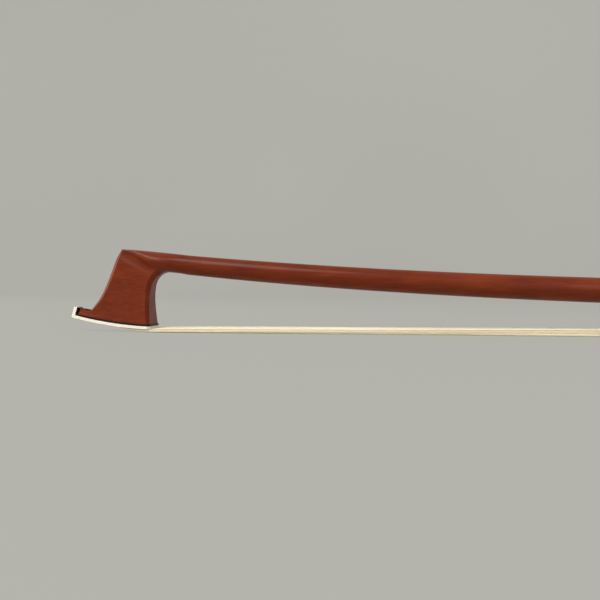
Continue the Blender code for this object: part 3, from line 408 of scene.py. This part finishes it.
# Wood: dark, middle and light colours, roughness and varnish
PERNAMBUCO = wood(
    "pernambuco", (0.095, 0.010, 0.001), (0.165, 0.021, 0.002), (0.230, 0.038, 0.004), 0.34, 0.14
)
EBONY = wood("ebony", (0.006, 0.005, 0.005), (0.011, 0.009, 0.008), (0.022, 0.017, 0.014), 0.36, 0.10)
MAPLE = wood("maple", (0.42, 0.27, 0.13), (0.58, 0.41, 0.23), (0.68, 0.52, 0.32), 0.60, 0.0)
# Metal: clean and worn colours, roughness
SILVER = metal("silver", (0.80, 0.79, 0.76), (0.55, 0.53, 0.49), 0.22)
WIRE = metal("silver_wire", (0.78, 0.77, 0.74), (0.45, 0.43, 0.40), 0.26)
BRASS = metal("brass", (0.72, 0.50, 0.20), (0.45, 0.30, 0.12), 0.32)
STEEL = metal("steel", (0.50, 0.50, 0.51), (0.36, 0.35, 0.34), 0.34)
PEARL = pearl_material()
# The rest: two colours, noise scale, roughness and bump depth
BONE = plain_material(
    "bone", (0.84, 0.78, 0.65), (0.90, 0.85, 0.74), BONE_GRAIN, 0.34, BONE_DEPTH,
    Coat_Weight=0.25, Coat_Roughness=0.15
)
HORSEHAIR = plain_material(
    "horsehair", (0.82, 0.69, 0.43), (0.95, 0.88, 0.70), HAIR_GRAIN, 0.48, HAIR_DEPTH, Specular_IOR_Level=0.5
)
THREAD = plain_material("thread", (0.34, 0.05, 0.03), (0.52, 0.10, 0.06), THREAD_TWIST, 0.75, THREAD_DEPTH)
LEATHER_SKIN = leather_material()


# Head and stick

def plate_height(station):
    """Lower face of the plate."""
    u = PLATE_REAR - station
    return PLATE_REAR_HEIGHT + PLATE_RISE * u + PLATE_CURVE * u * u


class HeadRow:
    """One slice through the head, from the front ridge or top edge to the throat."""

    def __init__(self, outer, inner, front, rear, face, roundness=0.0):
        """Keep the slice as one list of values, in the order that half_slice reads."""
        self.values = [*outer, *inner, *front, *rear, face, roundness]


# Each slice: the point on the ridge and the point on the throat's face (station, height), then the front chamfer
# and the rear chamfer (depth from the ridge or the face, half width), the half width of the rear face, and how
# far the slice has turned into the round stick
HEAD_ROWS = [
    HeadRow((0.00175, 0.00520), (0.02525, 0.00230), (0.0004, 0.00180), (0.0008, 0.00500), 0.00395),
    HeadRow((0.00240, 0.00695), (0.02520, 0.00300), (0.0005, 0.00150), (0.0008, 0.00495), 0.00385),
    HeadRow((0.00330, 0.00610), (0.02514, 0.00360), (0.0006, 0.00180), (0.0008, 0.00490), 0.00375),
    HeadRow((0.00430, 0.00586), (0.02508, 0.00430), (0.0008, 0.00200), (0.0008, 0.00485), 0.00365),
    HeadRow((0.00540, 0.00625), (0.02502, 0.00510), (0.0010, 0.00215), (0.0009, 0.00475), 0.00350),
    HeadRow((0.00660, 0.00760), (0.02494, 0.00620), (0.0013, 0.00235), (0.0009, 0.00460), 0.00335),
    HeadRow((0.00830, 0.00980), (0.02486, 0.00800), (0.0015, 0.00250), (0.0009, 0.00435), 0.00310),
    HeadRow((0.00985, 0.01270), (0.02483, 0.01020), (0.0016, 0.00255), (0.0010, 0.00405), 0.00285),
    HeadRow((0.01120, 0.01580), (0.02505, 0.01240), (0.0016, 0.00255), (0.0011, 0.00375), 0.00250),
    HeadRow((0.01240, 0.01890), (0.02550, 0.01440), (0.0016, 0.00245), (0.0012, 0.00350), 0.00210),
    HeadRow((0.01360, 0.02200), (0.02635, 0.01605), (0.0015, 0.00225), (0.0013, 0.00325), 0.00170),
    HeadRow((0.01530, 0.02502), (0.02765, 0.01725), (0.0008, 0.00150), (0.0015, 0.00305), 0.00130),
    HeadRow((0.01950, 0.02480), (0.02945, 0.01792), (0.0009, 0.00200), (0.0013, 0.00280), 0.00120, 0.45),
    HeadRow((0.02500, 0.02430), (0.03150, 0.01788), (0.0009, 0.00210), (0.0010, 0.00240), 0.00110, 0.80),
    HeadRow((0.03100, 0.02370), (0.03370, 0.01765), (0.0009, 0.00200), (0.0010, 0.00220), 0.00110, 1.0),
]
# The ridge turns sharply at the beak's top and at the nose
RIDGE_CORNERS = (1, 11)
RIDGE_VALUES = (0, 1)
# Places in a ring, counted from the ridge: the cheek's ends, and the first point on the rear face
CHEEK_FIRST = RING_POINTS * 3 // 32
CHEEK_LAST = RING_POINTS * 12 // 32
FACE_FIRST = RING_POINTS * 14 // 32
# Points each side of the middle that lie on the straight rear edge
START_FLAT = RING_POINTS // 2 - FACE_FIRST
# Steps between two slices of the head, along the shaft, and where the shaft turns octagonal
HEAD_STEPS = 8
SHAFT_STEPS = 90
OCTAGON_STEPS = 6
HANDLE_MIDDLE = 0.6800
END_CHAMFER = 0.0004
END_SHARE = 0.92
MORTISE_FLOOR = -0.002
SLOT_FLOOR = -0.006
BORE_CENTRE = -0.015
BORE_LENGTH = 0.042
ROD_SIDES = 32
WOOD_SHARP = 24


def tangent(values, places, k, side, broken):
    """Slope of a smooth curve through values at row k; one-sided at the ends and at a broken corner."""
    before = (values[k] - values[k - 1]) / (places[k] - places[k - 1]) if k else None
    after = (values[k + 1] - values[k]) / (places[k + 1] - places[k]) if k + 1 < len(values) else None
    if before is None or (broken and side > 0 and after is not None):
        return after
    if after is None or broken:
        return before
    back = places[k] - places[k - 1]
    ahead = places[k + 1] - places[k]
    return (before * ahead + after * back) / (back + ahead)


def interpolate_rows(rows, steps):
    """Rows with steps - 1 smooth rows put in between each pair."""
    places = [0.0]
    for row, following in zip(rows, rows[1:]):
        step = math.dist(row.values[:2], following.values[:2])
        step += math.dist(row.values[2:4], following.values[2:4])
        places.append(places[-1] + step)
    fine = []
    for k in range(len(rows) - 1):
        width = places[k + 1] - places[k]
        for i in range(steps):
            t = i / steps
            blended = []
            for column in range(len(rows[0].values)):
                values = [row.values[column] for row in rows]
                ridge = column in RIDGE_VALUES
                m0 = tangent(values, places, k, 1, ridge and k in RIDGE_CORNERS)
                m1 = tangent(values, places, k + 1, -1, ridge and k + 1 in RIDGE_CORNERS)
                blended.append(
                    (2 * t ** 3 - 3 * t ** 2 + 1) * values[k]
                    + (t ** 3 - 2 * t ** 2 + t) * width * m0
                    + (3 * t ** 2 - 2 * t ** 3) * values[k + 1]
                    + (t ** 3 - t ** 2) * width * m1
                )
            fine.append(blended)
    fine.append(rows[-1].values)
    return fine


def half_slice(values):
    """(depth, half width) of the points from the ridge to the middle of the rear face."""
    x0, z0, x1, z1, front_depth, front_half, rear_depth, rear_half, face_half, roundness = values
    length = math.dist((x0, z0), (x1, z1))
    last = RING_POINTS // 2
    points = []
    for i in range(last + 1):
        if i <= CHEEK_FIRST:
            depth, half = front_depth * i / CHEEK_FIRST, front_half * i / CHEEK_FIRST
        elif i <= CHEEK_LAST:
            t = (i - CHEEK_FIRST) / (CHEEK_LAST - CHEEK_FIRST)
            depth = front_depth + (length - rear_depth - front_depth) * t
            half = front_half + (rear_half - front_half) * t
        elif i <= FACE_FIRST:
            t = (i - CHEEK_LAST) / (FACE_FIRST - CHEEK_LAST)
            depth = length - rear_depth * (1 - t)
            half = rear_half + (face_half - rear_half) * t
        else:
            depth, half = length, face_half * (last - i) / START_FLAT
        angle = math.pi * i / last
        round_depth = length / 2 * (1 - math.cos(angle))
        round_half = length / 2 * math.sin(angle)
        depth += (round_depth - depth) * roundness
        half += (round_half - half) * roundness
        points.append((depth, half))
    return points


def head_ring(values, on_plate=0.0):
    """Points round one slice. A slice near the plate takes the plate's curve."""
    start = Vector((values[0] - MIDDLE, 0, values[1]))
    end = Vector((values[2] - MIDDLE, 0, values[3]))
    along = (end - start).normalized()
    half = []
    for depth, width in half_slice(values):
        point = start + along * depth
        curved = plate_height(point.x + MIDDLE) + WOOD_LIFT
        point.z += (curved - point.z) * on_plate
        half.append(point + Vector((0, width, 0)))
    mirrored = [Vector((p.x, -p.y, p.z)) for p in reversed(half[1:-1])]
    return half + mirrored


def hidden_cutter(name, mesh, place=None):
    """Object that only cuts or joins, at a place in the bow."""
    cutter = bpy.data.objects.new(name, mesh)
    bpy.context.scene.collection.objects.link(cutter)
    if place:
        cutter.matrix_world = place
    return cutter


def apply_booleans(piece, cuts):
    """Boolean each cutter into the piece's mesh and remove the cutters."""
    for cutter, operation in cuts:
        modifier = piece.modifiers.new(cutter.name, "BOOLEAN")
        modifier.object = cutter
        modifier.operation = operation
        modifier.solver = "EXACT"
    solid = bpy.data.meshes.new_from_object(piece.evaluated_get(bpy.context.evaluated_depsgraph_get()))
    piece.modifiers.clear()
    piece.data = solid
    for cutter, _ in cuts:
        bpy.data.objects.remove(cutter, do_unlink=True)


def stick_wood():
    """The head, shaft and handle in one finer skin, with the same nipple, bore, slot and mortise."""
    slices = interpolate_rows(HEAD_ROWS, HEAD_STEPS)
    rings = [head_ring(slices[0], 1.0)] + [head_ring(values) for values in slices[1:]]
    shaft = OCTAGON_START - SHAFT_START
    rings += [stick_ring(SHAFT_START + shaft * i / SHAFT_STEPS) for i in range(SHAFT_STEPS + 1)]
    turn = OCTAGON_END - OCTAGON_START
    rings += [stick_ring(OCTAGON_START + turn * i / OCTAGON_STEPS) for i in range(1, OCTAGON_STEPS + 1)]
    rings += [stick_ring(station) for station in (HANDLE_START, HANDLE_MIDDLE, STICK_END - END_CHAMFER)]
    end = stick_ring(STICK_END)
    middle = sum(end, Vector()) / len(end)
    rings.append([middle + (point - middle) * END_SHARE for point in end])
    mesh = loft_mesh("stick_wood", rings, strip_start=True)
    piece = bpy.data.objects.new("stick_wood", mesh)
    bpy.context.scene.collection.objects.link(piece)
    low, high = HEAD_MORTISE
    mortise = box_mesh(
        "mortise", (low - MIDDLE, -HEAD_MORTISE_HALF_WIDTH, MORTISE_FLOOR),
        (high - MIDDLE, HEAD_MORTISE_HALF_WIDTH, HEAD_MORTISE_TOP)
    )
    slot_cut = box_mesh("slot", (SLOT[0], -SLOT_HALF_WIDTH, SLOT_FLOOR), (SLOT[1], SLOT_HALF_WIDTH, SLOT_TOP))
    nipple = rod_mesh("nipple", (0, 0, 0), ALONG, 2 * NIPPLE_LENGTH, NIPPLE_RADIUS, ROD_SIDES)
    bore = rod_mesh("bore", (BORE_CENTRE, 0, 0), ALONG, BORE_LENGTH, BORE_RADIUS, ROD_SIDES)
    apply_booleans(piece, (
        (hidden_cutter("nipple", nipple, HANDLE), "UNION"),
        (hidden_cutter("bore", bore, HANDLE), "DIFFERENCE"),
        (hidden_cutter("slot", slot_cut, HANDLE), "DIFFERENCE"),
        (hidden_cutter("mortise", mortise), "DIFFERENCE"),
    ))
    piece.data.materials.clear()
    piece.data.materials.append(PERNAMBUCO)
    piece.data.shade_smooth()
    piece.data.set_sharp_from_angle(angle=math.radians(WOOD_SHARP))
    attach(piece, STICK)
    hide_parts("stick")


# Hair

HAIR_COUNT = 380
HAIR_RADIUS = 0.00013
HAIR_SIDES = 4
# The free hair between the head and the ferrule, and the end inside the ferrule
FREE_HAIR = (0.0300, 0.6610)
FREE_STEPS = 26
HAIR_END = 0.6700
# How far a hair leaves its place, as a share of the ribbon's half width and of its thickness
WANDER_ACROSS = 0.10
WANDER_UP = 0.25
WANDER_LENGTH = 0.65
WANDER_RATE = 9
# Station, heights of the ribbon's lower and upper faces, half width
HAIR_LINE = (
    (0.0147, 0.00230, 0.00320, 0.00220),
    (0.0156, 0.00125, 0.00175, 0.00225),
    (0.0163, 0.00100, 0.00146, 0.00230),
    (0.0190, 0.00075, 0.00115, 0.00360),
    (0.0225, 0.00030, 0.00092, 0.00440),
    (0.0256, 0.00005, 0.00082, 0.00470),
    (0.0268, 0.00000, 0.00120, 0.00480),
    (0.0300, 0.00000, 0.00148, 0.00490),
    (0.0600, 0.00000, 0.00165, 0.00510),
    (0.1600, 0.00010, 0.00200, 0.00530),
    (0.4000, 0.00035, 0.00220, 0.00560),
    (0.6400, 0.00072, 0.00215, 0.00590),
    (0.6610, 0.00080, 0.00200, 0.00590),
    (0.6700, 0.00118, 0.00235, 0.00520),
)


def hair_at(station):
    """Lower height, upper height and half width of the ribbon, by interpolation."""
    for a, b in zip(HAIR_LINE, HAIR_LINE[1:]):
        if station <= b[0]:
            share = (station - a[0]) / (b[0] - a[0])
            return [x + (y - x) * share for x, y in zip(a[1:], b[1:])]
    return HAIR_LINE[-1][1:]


def hair_stations():
    """Stations of a hair's rings: each bend at the head, even steps along the free hair, and the far end."""
    start, end = FREE_HAIR
    stations = [row[0] for row in HAIR_LINE if row[0] <= start]
    stations += [start + (end - start) * i / FREE_STEPS for i in range(1, FREE_STEPS + 1)]
    return stations + [HAIR_END]


def tube_faces(bm, row, following):
    """Faces between two rings of a thin tube."""
    for k in range(len(row)):
        j = (k + 1) % len(row)
        bm.faces.new((row[k], row[j], following[j], following[k]))


def hair_strands():
    """Single hairs, each a thin tube that keeps its place in the ribbon and wanders a little."""
    bm = bmesh.new()
    stations = hair_stations()
    for _ in range(HAIR_COUNT):
        across = random.uniform(-1.0, 1.0)
        level = random.uniform(0.0, 1.0)
        phase = random.uniform(0.0, 2 * math.pi)
        waves = random.uniform(1.0, 3.5)
        rows = []
        for station in stations:
            low, high, half = hair_at(station)
            free = math.sin(math.pi * (station - stations[0]) / (stations[-1] - stations[0]))
            bend = phase + waves * 2 * math.pi * station / WANDER_LENGTH
            wander = WANDER_ACROSS * free * math.sin(bend)
            y = max(-1.0, min(1.0, across + wander)) * (half - HAIR_RADIUS)
            rise = WANDER_UP * free * math.cos(phase + waves * WANDER_RATE * station)
            lift = max(0.0, min(1.0, level + rise))
            z = low + HAIR_RADIUS + (high - low - 2 * HAIR_RADIUS) * lift
            row = []
            for k in range(HAIR_SIDES):
                angle = 2 * math.pi * k / HAIR_SIDES
                row.append(bm.verts.new((
                    station - MIDDLE, y + HAIR_RADIUS * math.cos(angle), z + HAIR_RADIUS * math.sin(angle)
                )))
            rows.append(row)
        for row, following in zip(rows, rows[1:]):
            tube_faces(bm, row, following)
        bm.faces.new(rows[0])
        bm.faces.new(rows[-1])
    piece = add_piece("hair_strands", finish_mesh("hair_strands", bm), HORSEHAIR, None)
    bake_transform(piece)
    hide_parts("hair")


# Lapping and leather

WIRE_RADIUS = 0.00015
WIRE_STEPS = 22
WIRE_SIDES = 5
# The winding's first and last turn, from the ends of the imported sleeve
WIRE_START = 0.0002
WIRE_PAST_END = 0.0004


def wire_lapping():
    """One wire wound closely round the stick."""
    start, end = LAPPING[0] + WIRE_START, LAPPING[1] + WIRE_PAST_END
    turns = int((end - start) / (2 * WIRE_RADIUS))
    bm = bmesh.new()
    rows = []
    for i in range(turns * WIRE_STEPS + 1):
        share = i / (turns * WIRE_STEPS)
        station = start + (end - start) * share
        angle = 2 * math.pi * (i % WIRE_STEPS) / WIRE_STEPS
        height, slope = camber(station)
        up = Vector((-slope, 0, 1)).normalized()
        outward = up * math.cos(angle) + Vector((0, math.sin(angle), 0))
        forward = Vector((1, 0, slope)).normalized()
        radius = section_radius(station, angle) + GLUE_GAP + WIRE_RADIUS
        centre = Vector((station - MIDDLE, 0, height)) + outward * radius
        row = []
        for k in range(WIRE_SIDES):
            turn = 2 * math.pi * k / WIRE_SIDES
            offset = outward * math.cos(turn) + forward * math.sin(turn)
            row.append(bm.verts.new(centre + offset * WIRE_RADIUS))
        rows.append(row)
    for row, following in zip(rows, rows[1:]):
        tube_faces(bm, row, following)
    bm.faces.new(rows[0])
    bm.faces.new(rows[-1])
    piece = add_piece("wire_lapping", finish_mesh("wire_lapping", bm), WIRE, STICK)
    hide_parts("lapping")


LEATHER_STEPS = 40
LEATHER_SHARP = 50
SKIVED_EDGE = 0.00021
LEATHER_RISE = 0.00085 * 0.75
FRONT_ROUND = 0.0012
REAR_ROUND = 0.0010
REAR_EDGE_SHARE = 0.55
LIP_LENGTH = 0.0042
LIP_SLOPE = 0.0016
LIP_RISE = 0.00070
SEAM_POINT = RING_POINTS * 3 // 8
SEAM_SHARE = 0.72


def quarter_round(share):
    """Height of a quarter circle, 0 at its edge and 1 at its top."""
    return math.sqrt(max(0.0, 1 - (1 - share) ** 2))


def leather_grip():
    """Thumb leather with a rounded front edge, a butted seam and a thick rear lip."""
    start, end = LEATHER
    outer = []
    inner = []
    for i in range(LEATHER_STEPS + 1):
        station = start + (end - start) * i / LEATHER_STEPS
        ahead = min(1.0, (station - start) / FRONT_ROUND)
        behind = min(1.0, (end - station) / REAR_ROUND)
        lip = max(0.0, min(1.0, (station - (end - LIP_LENGTH)) / LIP_SLOPE))
        thickness = LEATHER_RISE * quarter_round(ahead) + SKIVED_EDGE
        thickness += LIP_RISE * lip * lip * (3 - 2 * lip)
        thickness *= REAR_EDGE_SHARE + (1 - REAR_EDGE_SHARE) * quarter_round(behind)
        ring = stick_ring(station, GLUE_GAP + thickness)
        base = stick_ring(station, GLUE_GAP)
        ring[SEAM_POINT] = base[SEAM_POINT] + (ring[SEAM_POINT] - base[SEAM_POINT]) * SEAM_SHARE
        outer.append(ring)
        inner.append(base)
    mesh = loft_mesh("leather_grip", outer, inner)
    piece = add_piece("leather_grip", mesh, LEATHER_SKIN, STICK, LEATHER_SHARP)
    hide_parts("thumb_leather")


# Carried-over pieces

FINISHES = (
    (EBONY, ("tip_liner", "frog_block", "slide_backing", "button_core")),
    (BONE, ("tip_plate",)),
    (MAPLE, ("tip_plug", "ferrule_wedge", "frog_plug")),
    (THREAD, ("tip_knot", "frog_knot")),
    (SILVER, (
        "ferrule", "heel_plate", "heel_pin_upper", "heel_pin_lower", "heel_pin_foot",
        "underslide", "underslide_screw_front", "underslide_screw_rear", "eye_ring_left", "eye_ring_right",
        "button_ring_front", "button_ring_rear", "button_pin_front", "button_pin_rear",
    )),
    (PEARL, ("slide_pearl", "eye_left", "eye_right", "button_eye")),
    (BRASS, ("eyelet",)),
    (STEEL, ("screw",)),
)
# Width of the softened edges
EDGES = {
    "tip_plate": 0.00015, "frog_block": 0.00012, "ferrule": 0.00015, "heel_plate": 0.00012,
    "button_core": 0.00012, "button_ring_front": 0.00015, "button_ring_rear": 0.00015, "slide_pearl": 0.00005,
}
# Angles in degrees above which an edge is shaded sharp, and above which it is softened
CAD_SHARP = 28
BEVEL_ANGLE = 32


def finish_node(name, material):
    """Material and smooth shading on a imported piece, and softened edges where they show."""
    node = nodes[name]
    node.data.materials.clear()
    node.data.materials.append(material)
    for polygon in node.data.polygons:
        polygon.material_index = 0
    node.data.shade_smooth()
    node.data.set_sharp_from_angle(angle=math.radians(CAD_SHARP))
    if name in EDGES:
        bevel = node.modifiers.new("edges", "BEVEL")
        bevel.width = EDGES[name]
        bevel.segments = 2
        bevel.limit_method = "ANGLE"
        bevel.angle_limit = math.radians(BEVEL_ANGLE)


def finish_nodes():
    """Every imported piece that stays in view, by material."""
    for material, names in FINISHES:
        for name in names:
            finish_node(name, material)


# Stage, lights and camera

PAPER = (0.465, 0.465, 0.420)
PAPER_DARK = (0.425, 0.423, 0.383)
PAPER_LIT = (0.40, 0.40, 0.375)
PAPER_CLOUDS = 0.45
# Share of the paper that is flat to the camera and in reflections; the rest is lit and takes the shadow
FLAT_SHARE = 0.85
FLOOR_FRONT = -8.0
FLOOR_HALF_WIDTH = 8.0
WALL_DEPTH = 1.6
WALL_HEIGHT = 3.0
WALL_BEND = 0.5
BEND_STEPS = 12


def math_node(tree, operation, first, second):
    """A math node between a socket and a socket or a number."""
    made = tree.nodes.new("ShaderNodeMath")
    made.operation = operation
    tree.links.new(first, made.inputs[0])
    if isinstance(second, float):
        made.inputs[1].default_value = second
    else:
        tree.links.new(second, made.inputs[1])
    return made.outputs[0]


def mix_shaders(tree, share, first, second, surface):
    """Mix two shaders into a surface."""
    mix = tree.nodes.new("ShaderNodeMixShader")
    tree.links.new(share, mix.inputs[0])
    tree.links.new(first.outputs[0], mix.inputs[1])
    tree.links.new(second.outputs[0], mix.inputs[2])
    tree.links.new(mix.outputs[0], surface)


def backdrop_material():
    """Plain grey paper, mostly flat in colour so that floor and wall look alike, with a soft shadow."""
    material = bpy.data.materials.new("grey_paper")
    material.use_nodes = True
    tree = material.node_tree
    lit = tree.nodes["Principled BSDF"]
    lit.inputs["Base Color"].default_value = (*PAPER_LIT, 1)
    lit.inputs["Roughness"].default_value = 0.9
    place = tree.nodes.new("ShaderNodeTexCoord")
    cloud = tree.nodes.new("ShaderNodeTexNoise")
    cloud.inputs["Scale"].default_value = PAPER_CLOUDS
    cloud.inputs["Detail"].default_value = 3.0
    tree.links.new(place.outputs["Object"], cloud.inputs["Vector"])
    tone = tree.nodes.new("ShaderNodeValToRGB")
    dark, light = tone.color_ramp.elements
    dark.position, dark.color = 0.35, (*PAPER_DARK, 1)
    light.position, light.color = 0.65, (*PAPER, 1)
    tree.links.new(cloud.outputs["Fac"], tone.inputs["Fac"])
    flat = tree.nodes.new("ShaderNodeEmission")
    tree.links.new(tone.outputs["Color"], flat.inputs["Color"])
    path = tree.nodes.new("ShaderNodeLightPath").outputs
    reflected = math_node(tree, "MAXIMUM", path["Is Glossy Ray"], path["Is Transmission Ray"])
    seen = math_node(tree, "MAXIMUM", path["Is Camera Ray"], reflected)
    share = math_node(tree, "MULTIPLY", seen, FLAT_SHARE)
    mix_shaders(tree, share, lit, flat, tree.nodes["Material Output"].inputs["Surface"])
    return material


def stage():
    """Floor that turns up into a wall behind the bow."""
    bm = bmesh.new()
    foot = WALL_DEPTH - WALL_BEND
    line = [(FLOOR_FRONT, 0.0), (foot, 0.0)]
    for i in range(1, BEND_STEPS + 1):
        angle = math.pi / 2 * i / BEND_STEPS
        line.append((foot + WALL_BEND * math.sin(angle), WALL_BEND - WALL_BEND * math.cos(angle)))
    line.append((WALL_DEPTH, WALL_HEIGHT))
    rows = [[bm.verts.new((x, y, z)) for x in (-FLOOR_HALF_WIDTH, FLOOR_HALF_WIDTH)] for y, z in line]
    for row, following in zip(rows, rows[1:]):
        bm.faces.new((row[0], row[1], following[1], following[0]))
    mesh = finish_mesh("sweep", bm)
    mesh.shade_smooth()
    mesh.materials.append(backdrop_material())
    sweep = bpy.data.objects.new("sweep", mesh)
    bpy.context.scene.collection.objects.link(sweep)


def area_light(name, place, target, size, power, colour):
    """A rectangular lamp that faces its target."""
    lamp = bpy.data.lights.new(name, "AREA")
    lamp.shape = "RECTANGLE"
    lamp.size, lamp.size_y = size
    lamp.energy = power
    lamp.color = colour
    light = bpy.data.objects.new(name, lamp)
    light.location = place
    light.rotation_euler = (Vector(target) - Vector(place)).to_track_quat("-Z", "Y").to_euler()
    bpy.context.scene.collection.objects.link(light)


# Name, place, target, size, power in watts, colour
LAMPS = (
    ("key", (-0.9, -0.9, 1.5), (-0.1, 0, 0.01), (1.4, 0.9), 20, (1.0, 0.97, 0.92)),
    ("side", (-1.7, -0.2, 0.5), (-0.35, 0, 0.01), (0.5, 0.8), 18, (1.0, 0.96, 0.90)),
    ("fill", (0.9, -1.3, 0.7), (0.1, 0, 0.01), (1.2, 0.9), 7, (0.97, 0.98, 1.0)),
)
SKY = (0.95, 0.97, 1.0)
SKY_STRENGTH = 0.50


def lights():
    """Soft sky light, which the camera sees as paper, and three lamps."""
    world = bpy.data.worlds.new("studio")
    bpy.context.scene.world = world
    world.use_nodes = True
    tree = world.node_tree
    sky = tree.nodes["Background"]
    sky.inputs["Color"].default_value = (*SKY, 1)
    sky.inputs["Strength"].default_value = SKY_STRENGTH
    paper = tree.nodes.new("ShaderNodeBackground")
    paper.inputs["Color"].default_value = (*PAPER, 1)
    seen = tree.nodes.new("ShaderNodeLightPath").outputs["Is Camera Ray"]
    mix_shaders(tree, seen, sky, paper, tree.nodes["World Output"].inputs["Surface"])
    for lamp in LAMPS:
        area_light(*lamp)


def camera():
    """The photo's view: yaw to the left, a little down, and a small roll."""
    data = bpy.data.cameras.new("photo_view")
    data.sensor_width = SENSOR
    data.lens = FOCAL_PIXELS / IMAGE_PIXELS * SENSOR
    data.clip_start = CAMERA_NEAR
    data.dof.use_dof = False
    view = bpy.data.objects.new("photo_view", data)
    bpy.context.scene.collection.objects.link(view)
    turn = Matrix.Rotation(math.radians(-CAMERA_ROLL), 4, "Y")
    turn @= Matrix.Rotation(math.radians(CAMERA_YAW), 4, "Z")
    turn @= Matrix.Rotation(math.radians(90 + CAMERA_PITCH), 4, "X")
    view.matrix_world = Matrix.Translation(CAMERA_PLACE) @ turn
    bpy.context.scene.camera = view


camera()
stick_wood()
hair_strands()
wire_lapping()
leather_grip()
finish_nodes()
stage()
lights()
bpy.context.scene.view_settings.view_transform = "Standard"
